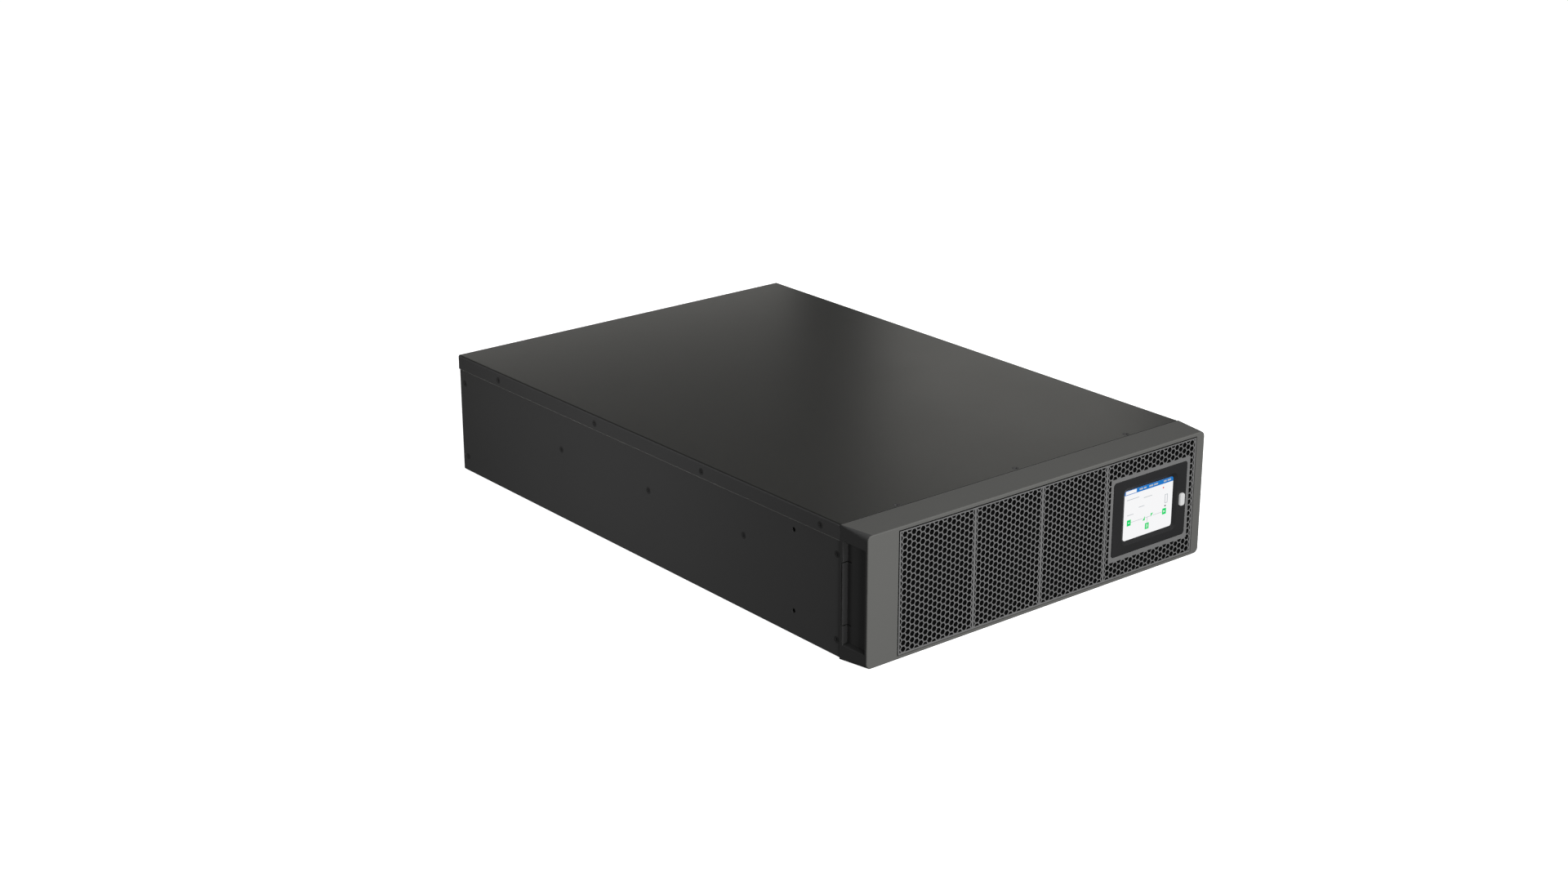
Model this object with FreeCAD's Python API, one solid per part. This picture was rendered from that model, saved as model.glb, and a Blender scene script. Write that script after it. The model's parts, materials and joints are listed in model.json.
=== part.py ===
import FreeCAD, Part
import math
import os

os.makedirs("parts", exist_ok=True)
V = FreeCAD.Vector

# A rack uninterruptible power supply, three rack units high.
# X runs to the right as seen from the front, Y from the front to the rear, Z up.
# The origin is under the middle of the whole unit, on the face it rests on.

# Body
case_width = 438.0
case_height = 130.0
case_depth = 664.0
sheet = 1.2
bend_radius = 2.0
cutter_reach = 2.0
sheet_clearance = 0.3
cutout_clearance = 0.1
seat_clearance = 0.3

# Cover and chassis screws, by their distance from the ends of what they hold
cover_flange = 15.5
cover_screw_front = 63.6
cover_screw_rear = 77.2
cover_screw_count = 4
cover_screw_drop = 8.8
deck_screw_front = 25.3
deck_screw_rear = 25.7
deck_screw_count = 3
end_screw_low = 17.0
end_screw_drop = 30.2
front_screw_inset = 5.2
rear_screw_inset = 9.0
top_screw_inset = 4.3
top_screw_spread = 149.0
screw_head_radius = 3.4
screw_sides = 8
screw_clearance = 0.05

# Threaded holes for the rack ears
ear_hole_radius = 2.25
ear_hole_depth = 102.0
ear_hole_low = 24.5
ear_hole_drop = 25.5
ear_nut_radius = 5.0
ear_nut_height = 3.0

# Bezel
bezel_depth = 36.0
bezel_side_taper = 1.2
bezel_top_taper = 0.8
bezel_bottom_taper = 1.2
bezel_corner_radius = 5.5
bezel_edge = 0.7
bezel_rear_radius = 0.4
bezel_wall = 2.5
bezel_face_wall = 4.2

# Grille insert in the bezel
plain_column_width = 36.3
right_border_width = 11.15
top_border_height = 3.5
bottom_border_height = 2.87
insert_thickness = 2.2
insert_seam = 0.4
insert_ledge = 2.0
insert_rim = 2.2

# Honeycomb in bays between upright bars, with fewer and larger cells than the real grille
left_bay_width = 92.55
display_bay_width = 124.5
cell_spacing = 14.3
cell_rib = 3.0
bar_width = 3.2
bar_count = 3
smallest_cell_width = 2.5

# Finger pockets in the bezel's sides, with their sprung release tongues
pocket_depth = 5.5
pocket_front = 3.2
pocket_rear = 32.5
pocket_low = 14.5
pocket_drop = 14.7
pocket_draft = 2.4
pocket_wall = 1.8
tongue_wall = 1.4
tongue_low = 33.5
tongue_drop = 35.5
tongue_reach = 5.0
slit_width = 0.8
hook_height = 12.0
hook_thickness = 1.8
hook_barb = 1.3
hook_reach = 3.0

# Display
display_inset = 75.6
display_rise = 0.4
panel_width = 102.8
panel_height = 76.4
panel_corner_radius = 3.5
panel_proud = 0.6
panel_body_depth = 5.6
panel_flange = 2.0
panel_flange_thickness = 1.6
panel_clearance = 0.15
frame_border_side = 3.8
frame_border_height = 4.2
screen_view_width = 68.0
screen_view_height = 51.5
screen_module_margin = 4.6
screen_thickness = 3.2
window_lip = 4.0
window_lip_depth = 2.4
window_corner_radius = 4.0
board_thickness = 1.6
display_board_gap = 2.4
display_boss_radius = 3.0
display_boss_inset = 4.5

# Status lamp beside the screen
lamp_width = 6.2
lamp_height = 12.6
lamp_proud = 2.5
lamp_chamfer = 1.4
lamp_offset = 44.3
lamp_face_inset = 0.8

# Front bulkhead behind the bezel
flange_length = 14.0
corner_notch = 4.0
vent_columns = 6
vent_rows = 2
vent_rib = 9.0
vent_margin = 20.0

# Fans
fan_size = 80.0
fan_depth = 25.0
fan_bore_radius = 38.25
fan_hub_radius = 17.0
fan_hub_sides = 28
fan_blade_root = 1.5
fan_tip_radius = 35.0
fan_base_thickness = 5.0
fan_strut_width = 4.0
fan_strut_count = 3
fan_shaft_radius = 1.5
fan_shaft_seat = 3.5
fan_running_clearance = 0.05
fan_axial_clearance = 1.0
blade_count = 7
blade_thickness = 1.4
blade_root_chord = 19.0
blade_tip_chord = 24.0
blade_pitch = 50.0
fan_vent_slot = 6.0
fan_vent_pitch = 10.0
fan_vent_radius = 36.0

# Input breaker on the rear panel
breaker_width = 36.0
breaker_height = 45.0
breaker_depth = 62.0
breaker_proud = 1.0
lever_slot_width = 28.0
lever_slot_height = 24.0
lever_slot_depth = 13.0
lever_pivot_inset = 8.0
lever_pin_radius = 2.0
lever_pin_length = 2.5
lever_pin_clearance = 0.05
lever_side_clearance = 0.3
lever_hub_radius = 4.2
lever_thickness = 5.0
lever_reach = 17.0
lever_rest_angle = -25.0

# Battery connector on the rear panel
connector_width = 50.0
connector_height = 25.0
connector_depth = 34.0
connector_proud = 6.0
cavity_width = 15.0
cavity_height = 15.0
cavity_depth = 16.0

# Terminal chamber on the rear panel
hood_width = 92.0
hood_low = 12.0
hood_drop = 18.0
hood_depth = 12.0
hood_lip = 8.0
plug_radius = 14.0
plug_spacing = 44.0
plug_rise = 26.0
plug_thickness = 3.0
terminal_width = 60.0
terminal_height = 30.0
terminal_depth = 38.0
terminal_drop = 28.0
terminal_ways = 5
terminal_wall = 1.6

# Signal side of the rear panel
slot_width = 60.0
slot_height = 38.0
slot_lip = 3.0
slot_cover_thickness = 1.5
slot_screw_radius = 4.0
slot_screw_height = 6.0
slot_screw_inset = 6.0
guide_length = 110.0
guide_width = 6.0
guide_height = 9.0
guide_groove = 2.0
serial_width = 31.0
serial_height = 12.5
serial_shell_width = 17.0
serial_shell_height = 9.0
serial_shell_lean = 1.5
serial_shell_proud = 5.8
serial_depth = 12.0
usb_size = 12.0
usb_proud = 1.0
usb_depth = 16.0
usb_wall = 1.2
usb_tongue = 5.6
contact_width = 32.0
contact_height = 10.0
contact_depth = 14.0
contact_proud = 4.0
contact_ways = 6
stud_radius = 2.5
stud_length = 12.0
stud_nut_radius = 4.6
stud_nut_height = 4.0
stud_inset = 10.8
stud_z = 14.0

# Power stage on the floor of the chassis
spacer_height = 8.0
spacer_radius = 3.0
power_board_front = 120.0
power_board_rear = 144.0
power_board_side = 36.6
sink_gap = 11.2
sink_base = 5.0
sink_fin = 1.6
sink_fin_count = 7
sink_fin_length = 26.0
sink_front = 150.0
sink_rear = 214.0
sink_inset = 75.0
transistor_width = 16.0
transistor_height = 21.0
transistor_thickness = 5.0
transistor_pitch = 44.0
transistor_rise = 14.0
capacitor_radius = 15.0
capacitor_gap = 9.2
capacitor_pitch = 34.0
capacitor_count = 4
capacitor_rows = 2
capacitor_sides = 12
choke_length = 55.0
choke_width = 46.0
choke_height = 44.0
choke_leg = 12.0
choke_spacing = 70.0
winding_reach = 6.0
coil_clearance = 0.5
film_length = 32.0
film_width = 18.0
film_height = 30.0
film_pitch = 44.0
film_count = 4
relay_length = 30.0
relay_width = 22.0
relay_height = 26.0

# Upper deck with the control electronics
deck_height = 70.0
deck_front = 150.0
deck_rear = 164.0
deck_window_width = 60.0
deck_window_length = 120.0
deck_spacer_height = 6.0
control_width = 190.0
control_length = 150.0
control_front = 170.0
chip_size = 20.0
chip_height = 3.0
header_width = 40.0
header_depth = 9.0
header_height = 12.0
transformer_size = 52.0
transformer_gap = 12.0
transformer_core = 12.0
transformer_front = 200.0
charger_width = 150.0
charger_length = 130.0

# Mains filter beside the terminal block
filter_width = 90.0
filter_length = 70.0
filter_gap = 12.0
filter_choke_radius = 24.0
filter_choke_bore = 11.0
filter_choke_height = 20.0



def shared_out(low, high, sizes):
    """Centres of things in a row, with the room that is left shared between the gaps."""
    gap = (high - low - sum(sizes)) / (len(sizes) + 1)
    return [low + gap * (index + 1) + sum(sizes[:index]) + size / 2 for index, size in enumerate(sizes)]


# Places worked out from the sizes above
half_width = case_width / 2
tray_half = half_width - sheet
tray_inside = tray_half - sheet
hood_screw_head = 1.6
front_reach = panel_proud + lamp_proud
rear_reach = hood_depth + hood_screw_head
face_y = (front_reach - case_depth - rear_reach) / 2
rear_y = face_y + case_depth
chassis_y = face_y + bezel_depth + seat_clearance
cover_under = case_height - sheet
panel_inner_y = rear_y - sheet
insert_left = -half_width + bezel_side_taper + plain_column_width
insert_right = half_width - bezel_side_taper - right_border_width
insert_low = bezel_bottom_taper + bottom_border_height
insert_high = case_height - bezel_top_taper - top_border_height
pan_half = tray_inside - sheet_clearance
pan_inside = pan_half - sheet

# Honeycomb, which keeps its regular cells while a whole number of column pairs fills a bay
first_bar_x = insert_left + left_bay_width
bay_pitch = (insert_right - display_bay_width - first_bar_x) / (bar_count - 1)
bay_columns = 2 * max(1, round(bay_pitch / cell_spacing / 2))
column_pitch = bay_pitch / bay_columns
hexagon_sides = 6
flat_share = math.cos(math.pi / hexagon_sides)
cell_pitch = column_pitch / flat_share
cell_radius = (cell_pitch - cell_rib) / 2 / flat_share

# Display
display_centre_x = half_width - display_inset
display_centre_z = case_height / 2 + display_rise

# Rows and columns of the rear panel
rear_columns = shared_out(-pan_inside, pan_inside,
                          [fan_size, fan_size, breaker_width, slot_width, hood_width])
fan_left_x, fan_right_x, breaker_x, signal_x, hood_x = rear_columns
panel_low = 2 * sheet
panel_high = cover_under - sheet
breaker_z, usb_z, serial_z = shared_out(panel_low, panel_high, [breaker_height, usb_size, serial_height])
connector_z, contact_z, slot_z = shared_out(panel_low, panel_high,
                                            [connector_height, contact_height, slot_height])
fan_z = (sheet + cover_under) / 2
hood_high = case_height - hood_drop
plug_z = hood_low + plug_rise
terminal_z = hood_high - terminal_drop
stud_x = -half_width + stud_inset

# Boards and the deck
board_low = sheet + spacer_height
board_top = board_low + board_thickness
power_board_y = face_y + power_board_front
power_board_end = rear_y - power_board_rear
power_board_width = 2 * (tray_inside - power_board_side)
sink_y = face_y + sink_front
sink_height = deck_height - sink_gap - board_top
sink_spacing = power_board_width - 2 * sink_inset
capacitor_height = deck_height - capacitor_gap - board_top
sink_end = rear_y - sink_rear
deck_y = face_y + deck_front
deck_end = rear_y - deck_rear
deck_top = deck_height + sheet
deck_board_low = deck_top + deck_spacer_height
deck_board_top = deck_board_low + board_thickness
control_x, charger_x = shared_out(-pan_inside, pan_inside, [control_width, charger_width])
control_y = face_y + control_front
filter_y = power_board_end + filter_gap


def box(x0, x1, y0, y1, z0, z1):
    """Block between two opposite corners."""
    return Part.makeBox(x1 - x0, y1 - y0, z1 - z0, V(x0, y0, z0))


def block(x, y0, y1, z, width, height):
    """Block centred on a line along Y."""
    return box(x - width / 2, x + width / 2, y0, y1, z - height / 2, z + height / 2)


def rod(radius, start, end):
    """Round bar between two points."""
    return Part.makeCylinder(radius, (end - start).Length, start, end - start)


def rounded_wire(corners, radii):
    """Closed wire through the corners, each turned by a tangent arc or left sharp."""
    spans = []
    arcs = []
    for index, corner in enumerate(corners):
        radius = radii[index]
        back = (corners[index - 1] - corner).normalize()
        ahead = (corners[(index + 1) % len(corners)] - corner).normalize()
        half = back.getAngle(ahead) / 2
        reach = radius / math.tan(half)
        bisector = (back + ahead).normalize()
        middle = corner + bisector * (radius / math.sin(half) - radius)
        arcs.append((corner + back * reach, middle, corner + ahead * reach))
    for index, (start, middle, end) in enumerate(arcs):
        if radii[index] > 0:
            spans.append(Part.Arc(start, middle, end).toShape())
        following = arcs[(index + 1) % len(arcs)][0]
        spans.append(Part.LineSegment(end, following).toShape())
    return Part.Wire(spans)


def rounded_rectangle(y, x0, x1, z0, z1, radius):
    """Upright rounded rectangle at one depth."""
    corners = [V(x0, y, z0), V(x1, y, z0), V(x1, y, z1), V(x0, y, z1)]
    return rounded_wire(corners, [radius] * 4)


def slab(y0, y1, x0, x1, z0, z1, radius):
    """Rounded rectangle with a thickness along Y."""
    face = Part.Face(rounded_rectangle(y0, x0, x1, z0, z1, radius))
    return face.extrude(V(0, y1 - y0, 0))


def prism(points, path):
    """Straight prism on a polygon."""
    return Part.Face(Part.makePolygon(points + points[:1])).extrude(path)


def ring_points(centre, radius, sides, first, second):
    """Corners of a regular polygon in the plane of two unit vectors."""
    turns = [2 * math.pi * index / sides for index in range(sides)]
    return [centre + first * (radius * math.cos(t)) + second * (radius * math.sin(t)) for t in turns]


def hex_bar(centre, radius, path):
    """Hexagonal bar, such as a spacer or a nut."""
    first = V(1, 0, 0) if abs(path.x) < 0.5 * path.Length else V(0, 1, 0)
    second = path.cross(first).normalize()
    return prism(ring_points(centre, radius, hexagon_sides, first, second), path)


def folded_channel(half, base_z, tip_z, y0, y1):
    """Sheet folded into a channel, open towards its tips."""
    up = 1 if tip_z > base_z else -1
    inner_z = base_z + up * sheet
    inner = half - sheet
    corners = [V(-half, y0, tip_z), V(-half, y0, base_z), V(half, y0, base_z), V(half, y0, tip_z),
               V(inner, y0, tip_z), V(inner, y0, inner_z), V(-inner, y0, inner_z), V(-inner, y0, tip_z)]
    inner_radius = max(bend_radius - sheet, 0)
    radii = [0, bend_radius, bend_radius, 0, 0, inner_radius, inner_radius, 0]
    return Part.Face(rounded_wire(corners, radii)).extrude(V(0, y1 - y0, 0))


def folded_pan(y_face, toward, z_low, z_high):
    """Upright sheet with a flange folded back along each of its four sides."""
    half = pan_half
    y_tip = y_face + toward * flange_length
    outer = box(-half, half, min(y_face, y_tip), max(y_face, y_tip), z_low, z_high)
    face_edges = [e for e in outer.Edges if all(abs(v.Y - y_face) < sheet / 2 for v in e.Vertexes)]
    outer = outer.makeFillet(bend_radius, face_edges)
    inner_face = y_face + toward * sheet
    inner_tip = y_tip + toward * cutter_reach
    hollow = box(-half + sheet, half - sheet, min(inner_face, inner_tip), max(inner_face, inner_tip),
                 z_low + sheet, z_high - sheet)
    pan = outer.cut(hollow)
    notch_y = y_face - toward * cutter_reach
    notches = []
    for side in (-1, 1):
        for z in (z_low, z_high):
            notches.append(block(side * half, min(notch_y, inner_tip), max(notch_y, inner_tip), z,
                                 corner_notch, corner_notch))
    return pan.cut(Part.makeCompound(notches))


def screw_prism(surface, path, radius):
    """Eight sided prism, as wide across its flats as the round head it stands for."""
    first = V(0, 0, 1) if abs(path.z) < 0.5 * path.Length else V(0, 1, 0)
    second = path.cross(first).normalize()
    turned = first + second * math.tan(math.pi / screw_sides)
    turned.normalize()
    return prism(ring_points(surface, radius, screw_sides, turned, path.cross(turned).normalize()), path)


def screw(surface, inward):
    """Screw head that lies flush in a sheet and bears on what is under it."""
    return screw_prism(surface, inward * sheet, screw_head_radius)


def screw_seat(surface, inward):
    """Cutter for the hole that a flush screw head fills."""
    reach = inward * (sheet + 2 * cutter_reach)
    return screw_prism(surface - inward * cutter_reach, reach, screw_head_radius + screw_clearance)


def side_points(x, depths, heights):
    """Points on both sides of the unit, each with the direction into the unit."""
    return [(V(side * x, face_y + depth, z), V(-side, 0, 0))
            for side in (-1, 1) for depth in depths for z in heights]


def evenly(first, last, count):
    """Numbers at equal steps from the first to the last."""
    return [first + (last - first) * index / (count - 1) for index in range(count)]


cover_screw_depths = evenly(cover_screw_front, case_depth - cover_screw_rear, cover_screw_count)
deck_screw_depths = evenly(deck_front + deck_screw_front, case_depth - deck_rear - deck_screw_rear,
                           deck_screw_count)
end_screw_heights = [end_screw_low, case_height - end_screw_drop]
deck_screw_height = deck_height + flange_length / 2 - sheet
cover_points = side_points(half_width, cover_screw_depths, [case_height - cover_screw_drop])
deck_points = side_points(tray_half, deck_screw_depths, [deck_screw_height])
front_points = side_points(tray_half, [bezel_depth + seat_clearance + front_screw_inset], end_screw_heights)
rear_points = side_points(tray_half, [case_depth - rear_screw_inset], end_screw_heights)
top_points = [(V(x, chassis_y + top_screw_inset, case_height), V(0, 0, -1))
              for x in (-top_screw_spread, 0, top_screw_spread)]
ear_points = side_points(tray_half, [ear_hole_depth], [ear_hole_low, case_height - ear_hole_drop])


def base_tray():
    """Floor and sides of the chassis, folded from one sheet."""
    side_top = cover_under - bend_radius + sheet - seat_clearance
    tray = folded_channel(tray_half, 0, side_top, chassis_y, rear_y)
    seats = [screw_seat(*point) for point in deck_points + front_points + rear_points]
    ears = [rod(ear_hole_radius, at - inward * cutter_reach, at + inward * (sheet + cutter_reach))
            for at, inward in ear_points]
    return tray.cut(seats + ears)


def ear_nuts():
    """Clinch nuts behind the rack ear holes."""
    nuts = []
    for at, inward in ear_points:
        start = at + inward * sheet
        nut = hex_bar(start, ear_nut_radius, inward * ear_nut_height)
        end = start + inward * (ear_nut_height + cutter_reach)
        nuts.append(nut.cut(rod(ear_hole_radius, start - inward * cutter_reach, end)))
    return nuts


def top_cover():
    """Cover with side flanges that lap over the tray."""
    cover = folded_channel(half_width, case_height, case_height - cover_flange, chassis_y, rear_y)
    return cover.cut([screw_seat(*point) for point in cover_points + top_points])


def front_bulkhead():
    """Vented wall behind the bezel, which carries the bezel's hooks."""
    pan = folded_pan(chassis_y, 1, sheet, cover_under)
    y0 = chassis_y - cutter_reach
    y1 = chassis_y + sheet + cutter_reach
    field = tray_inside - vent_margin
    pitch_x = (2 * field + vent_rib) / vent_columns
    height = cover_under - sheet - 2 * vent_margin
    pitch_z = (height + vent_rib) / vent_rows
    vents = []
    for column in range(vent_columns):
        for row in range(vent_rows):
            x = -field + (column + 0.5) * pitch_x - vent_rib / 2
            z = sheet + vent_margin + (row + 0.5) * pitch_z - vent_rib / 2
            vents.append(block(x, y0, y1, z, pitch_x - vent_rib, pitch_z - vent_rib))
    slots = []
    for side in (-1, 1):
        inner = side * (hook_x - hook_thickness / 2 - seat_clearance)
        outer = side * (hook_x + hook_thickness / 2 + seat_clearance + hook_barb)
        tall = hook_height / 2 + seat_clearance
        slots.append(box(min(inner, outer), max(inner, outer), y0, y1, hook_z - tall, hook_z + tall))
    return pan.cut(vents + slots)


pocket_floor_x = half_width - bezel_side_taper / 2 - pocket_depth
pocket_high = case_height - pocket_drop
tongue_high = case_height - tongue_drop
hook_x = pocket_floor_x - hook_thickness / 2
hook_z = (tongue_low + tongue_high) / 2


def bezel_section(depth, inset, radius):
    """Outline of the bezel's shell at one depth, drawn in by an even inset."""
    share = 1 - depth / bezel_depth
    side = half_width - bezel_side_taper * share - inset
    low = bezel_bottom_taper * share + inset
    high = case_height - bezel_top_taper * share - inset
    return rounded_rectangle(face_y + depth, -side, side, low, high, radius)


def pocket_cutter(side):
    """Drafted finger pocket, open to one side."""
    mouth_x = side * half_width
    floor_x = side * pocket_floor_x
    y0 = face_y + pocket_front
    y1 = face_y + pocket_rear
    mouth = [V(mouth_x, y0, pocket_low), V(mouth_x, y1, pocket_low),
             V(mouth_x, y1, pocket_high), V(mouth_x, y0, pocket_high)]
    floor = [V(floor_x, y0, pocket_low + pocket_draft), V(floor_x, y1, pocket_low + pocket_draft),
             V(floor_x, y1, pocket_high - pocket_draft), V(floor_x, y0, pocket_high - pocket_draft)]
    wires = [Part.makePolygon(mouth + mouth[:1]), Part.makePolygon(floor + floor[:1])]
    return Part.makeLoft(wires, True, True)


def side_box(side, x0, x1, y0, y1, z0, z1):
    """Block on one side of the bezel, with its depths counted from the bezel's face."""
    return box(min(side * x0, side * x1), max(side * x0, side * x1), face_y + y0, face_y + y1, z0, z1)


def bezel():
    """Moulded bezel with finger pockets and sprung hooks at its sides."""
    outer = Part.makeLoft([bezel_section(0, bezel_edge, bezel_corner_radius - bezel_edge),
                           bezel_section(bezel_edge, 0, bezel_corner_radius),
                           bezel_section(bezel_depth, 0, bezel_rear_radius)], True, True)
    hollow = Part.makeLoft([bezel_section(bezel_face_wall, bezel_wall, bezel_corner_radius - bezel_wall),
                            bezel_section(bezel_depth, bezel_wall, bezel_rear_radius)], True, True)
    shell = outer.cut(hollow)
    rear_wall = pocket_rear + tongue_wall
    inner_x = pocket_floor_x - pocket_wall
    for side in (-1, 1):
        pod = side_box(side, inner_x, half_width - bezel_wall, bezel_face_wall / 2, rear_wall,
                       pocket_low - pocket_wall, pocket_high + pocket_wall)
        shell = shell.fuse(pod)
        shell = shell.cut(pocket_cutter(side))
        outside = half_width + cutter_reach
        slit = side_box(side, inner_x + pocket_wall, outside, rear_wall, rear_wall + slit_width,
                        tongue_low, tongue_high)
        legs = [side_box(side, inner_x - cutter_reach, outside, pocket_rear - tongue_reach,
                         rear_wall + slit_width, z - slit_width / 2, z + slit_width / 2)
                for z in (tongue_low, tongue_high)]
        shell = shell.cut([slit] + legs)
        shell = shell.fuse(hook(side, rear_wall))
    aperture = box(insert_left, insert_right, face_y - cutter_reach, face_y + insert_thickness,
                   insert_low, insert_high)
    throat = box(insert_left + insert_ledge, insert_right - insert_ledge, face_y,
                 face_y + bezel_face_wall + cutter_reach, insert_low + insert_ledge,
                 insert_high - insert_ledge)
    return shell.cut([aperture, throat]).removeSplitter()


def hook(side, start):
    """Sprung hook that reaches through the bulkhead and catches behind its sheet."""
    catch = bezel_depth + seat_clearance + sheet + seat_clearance
    outer = side * (hook_x + hook_thickness / 2)
    inner = side * (hook_x - hook_thickness / 2)
    tip = side * (hook_x - hook_thickness / 2 - hook_barb)
    z = hook_z - hook_height / 2
    outline = [V(outer, face_y + start - tongue_wall / 2, z), V(outer, face_y + catch + hook_reach, z),
               V(inner, face_y + catch + hook_reach, z), V(tip, face_y + catch, z),
               V(inner, face_y + catch, z), V(inner, face_y + start - tongue_wall / 2, z)]
    return prism(outline, V(0, 0, hook_height))


def hexagon(x, z):
    """Corners of one honeycomb cell, with its flats at the top and bottom."""
    turns = [2 * math.pi * index / hexagon_sides for index in range(hexagon_sides)]
    return [(x + cell_radius * math.cos(t), z + cell_radius * math.sin(t)) for t in turns]


def clipped(outline, axis, limit, side):
    """Part of a convex outline on one side of a line."""
    kept = []
    for index, point in enumerate(outline):
        last = outline[index - 1]
        before = side * (last[axis] - limit)
        after = side * (point[axis] - limit)
        if before * after < 0:
            share = before / (before - after)
            kept.append((last[0] + share * (point[0] - last[0]), last[1] + share * (point[1] - last[1])))
        if after >= 0:
            kept.append(point)
    return kept


def spread_of(outline):
    """Narrower of the two extents of an outline."""
    if len(outline) < 3:
        return 0
    widths = [max(p[k] for p in outline) - min(p[k] for p in outline) for k in (0, 1)]
    return min(widths)


def outside_frame(outline, frame):
    """Largest part of an outline that lies beyond one side of the display frame."""
    x0, x1, z0, z1 = frame
    parts = [clipped(outline, 0, x0, -1), clipped(outline, 0, x1, 1),
             clipped(outline, 1, z0, -1), clipped(outline, 1, z1, 1)]
    return max(parts, key=spread_of)


def honeycomb_cells(x0, x1, z0, z1, frame):
    """Outlines of all cells, whole and cut by a border, a bar or the display frame."""
    cells = []
    middle_z = (z0 + z1) / 2
    first_column = math.floor((x0 - first_bar_x) / column_pitch)
    last_column = math.ceil((x1 - first_bar_x) / column_pitch)
    rows = math.ceil((z1 - z0) / cell_pitch / 2) + 1
    bar_columns = [index * bay_columns for index in range(bar_count)]
    for column in range(first_column, last_column + 1):
        x = first_bar_x + column * column_pitch
        for row in range(-rows, rows + 1):
            z = middle_z + (row + 0.5 * (column % 2)) * cell_pitch
            outline = hexagon(x, z)
            for axis, limit, side in ((0, x0, 1), (0, x1, -1), (1, z0, 1), (1, z1, -1)):
                outline = clipped(outline, axis, limit, side)
            pieces = [outside_frame(outline, frame)] if len(outline) > 2 else []
            if column in bar_columns:
                pieces = [clipped(piece, 0, x + side * bar_width / 2, side)
                          for piece in pieces for side in (-1, 1)]
            cells += [piece for piece in pieces if spread_of(piece) > smallest_cell_width]
    return cells


def grille():
    """Honeycomb insert with the frame around the display."""
    x0 = insert_left + insert_seam
    x1 = insert_right - insert_seam
    z0 = insert_low + insert_seam
    z1 = insert_high - insert_seam
    opening = (display_centre_x - panel_width / 2 - panel_clearance,
               display_centre_x + panel_width / 2 + panel_clearance,
               display_centre_z - panel_height / 2 - panel_clearance,
               display_centre_z + panel_height / 2 + panel_clearance)
    frame = (opening[0] - frame_border_side, opening[1] + frame_border_side,
             opening[2] - frame_border_height, opening[3] + frame_border_height)
    cells = honeycomb_cells(x0 + insert_rim, x1 - insert_rim, z0 + insert_rim, z1 - insert_rim, frame)
    wires = [rounded_rectangle(face_y, x0, x1, z0, z1, 0),
             rounded_rectangle(face_y, opening[0], opening[1], opening[2], opening[3], panel_corner_radius)]
    for cell in cells:
        corners = [V(x, face_y, z) for x, z in cell]
        wires.append(Part.makePolygon(corners + corners[:1]))
    face = Part.makeFace(wires, "Part::FaceMakerBullseye")
    return face.extrude(V(0, insert_thickness, 0))


panel_front = face_y - panel_proud
panel_back = panel_front + panel_body_depth
screen_front = panel_front + window_lip_depth
screen_back = screen_front + screen_thickness
module_width = screen_view_width + 2 * screen_module_margin
module_height = screen_view_height + 2 * screen_module_margin
lamp_x = display_centre_x + lamp_offset
boss_x = panel_width / 2 - display_boss_inset
boss_z = panel_height / 2 - display_boss_inset
display_board_front = panel_back + display_board_gap


def display_panel():
    """Dark panel with a sloping lip around the screen."""
    x = display_centre_x
    z = display_centre_z
    body = slab(panel_front, panel_back, x - panel_width / 2, x + panel_width / 2,
                z - panel_height / 2, z + panel_height / 2, panel_corner_radius)
    flange_front = face_y + insert_thickness
    reach_x = panel_width / 2 + panel_flange
    reach_z = panel_height / 2 + panel_flange
    flange = block(x, flange_front, flange_front + panel_flange_thickness, z, 2 * reach_x, 2 * reach_z)
    panel = body.fuse(flange)
    for side_x in (-1, 1):
        for side_z in (-1, 1):
            centre = V(x + side_x * boss_x, panel_back - panel_flange_thickness, z + side_z * boss_z)
            panel = panel.fuse(hex_bar(centre, display_boss_radius, V(0, display_board_front - centre.y, 0)))
    wide = screen_view_width / 2 + window_lip
    tall = screen_view_height / 2 + window_lip
    mouth = rounded_rectangle(panel_front, x - wide, x + wide, z - tall, z + tall, window_corner_radius)
    sill = rounded_rectangle(screen_front, x - screen_view_width / 2, x + screen_view_width / 2,
                             z - screen_view_height / 2, z + screen_view_height / 2,
                             window_corner_radius / 2)
    window = Part.makeLoft([mouth, sill], True, True)
    pocket = block(x, screen_front, panel_back + cutter_reach, z,
                   module_width + 2 * panel_clearance, module_height + 2 * panel_clearance)
    lamp_slot = block(lamp_x, panel_front - cutter_reach, panel_back + cutter_reach, z,
                      lamp_width + 2 * panel_clearance, lamp_height + 2 * panel_clearance)
    return panel.cut([window, pocket, lamp_slot]).removeSplitter()


def screen():
    """Liquid crystal module behind the window."""
    return block(display_centre_x, screen_front, screen_back, display_centre_z, module_width, module_height)


def octagon(y, width, height, chamfer):
    """Upright rectangle with cut corners, round the lamp's centre."""
    x = width / 2
    z = height / 2
    corners = [(-x + chamfer, -z), (x - chamfer, -z), (x, -z + chamfer), (x, z - chamfer),
               (x - chamfer, z), (-x + chamfer, z), (-x, z - chamfer), (-x, -z + chamfer)]
    points = [V(lamp_x + a, y, display_centre_z + b) for a, b in corners]
    return Part.makePolygon(points + points[:1])


def status_lamp():
    """Light pipe that stands proud of the panel and reaches back to its board."""
    tip = octagon(panel_front - lamp_proud, lamp_width - 2 * lamp_face_inset,
                  lamp_height - 2 * lamp_face_inset, lamp_chamfer)
    foot = octagon(panel_front, lamp_width, lamp_height, lamp_chamfer)
    cap = Part.makeLoft([tip, foot], True, True)
    stem = Part.Face(foot).extrude(V(0, display_board_front - panel_front, 0))
    return cap.fuse(stem).removeSplitter()


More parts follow.
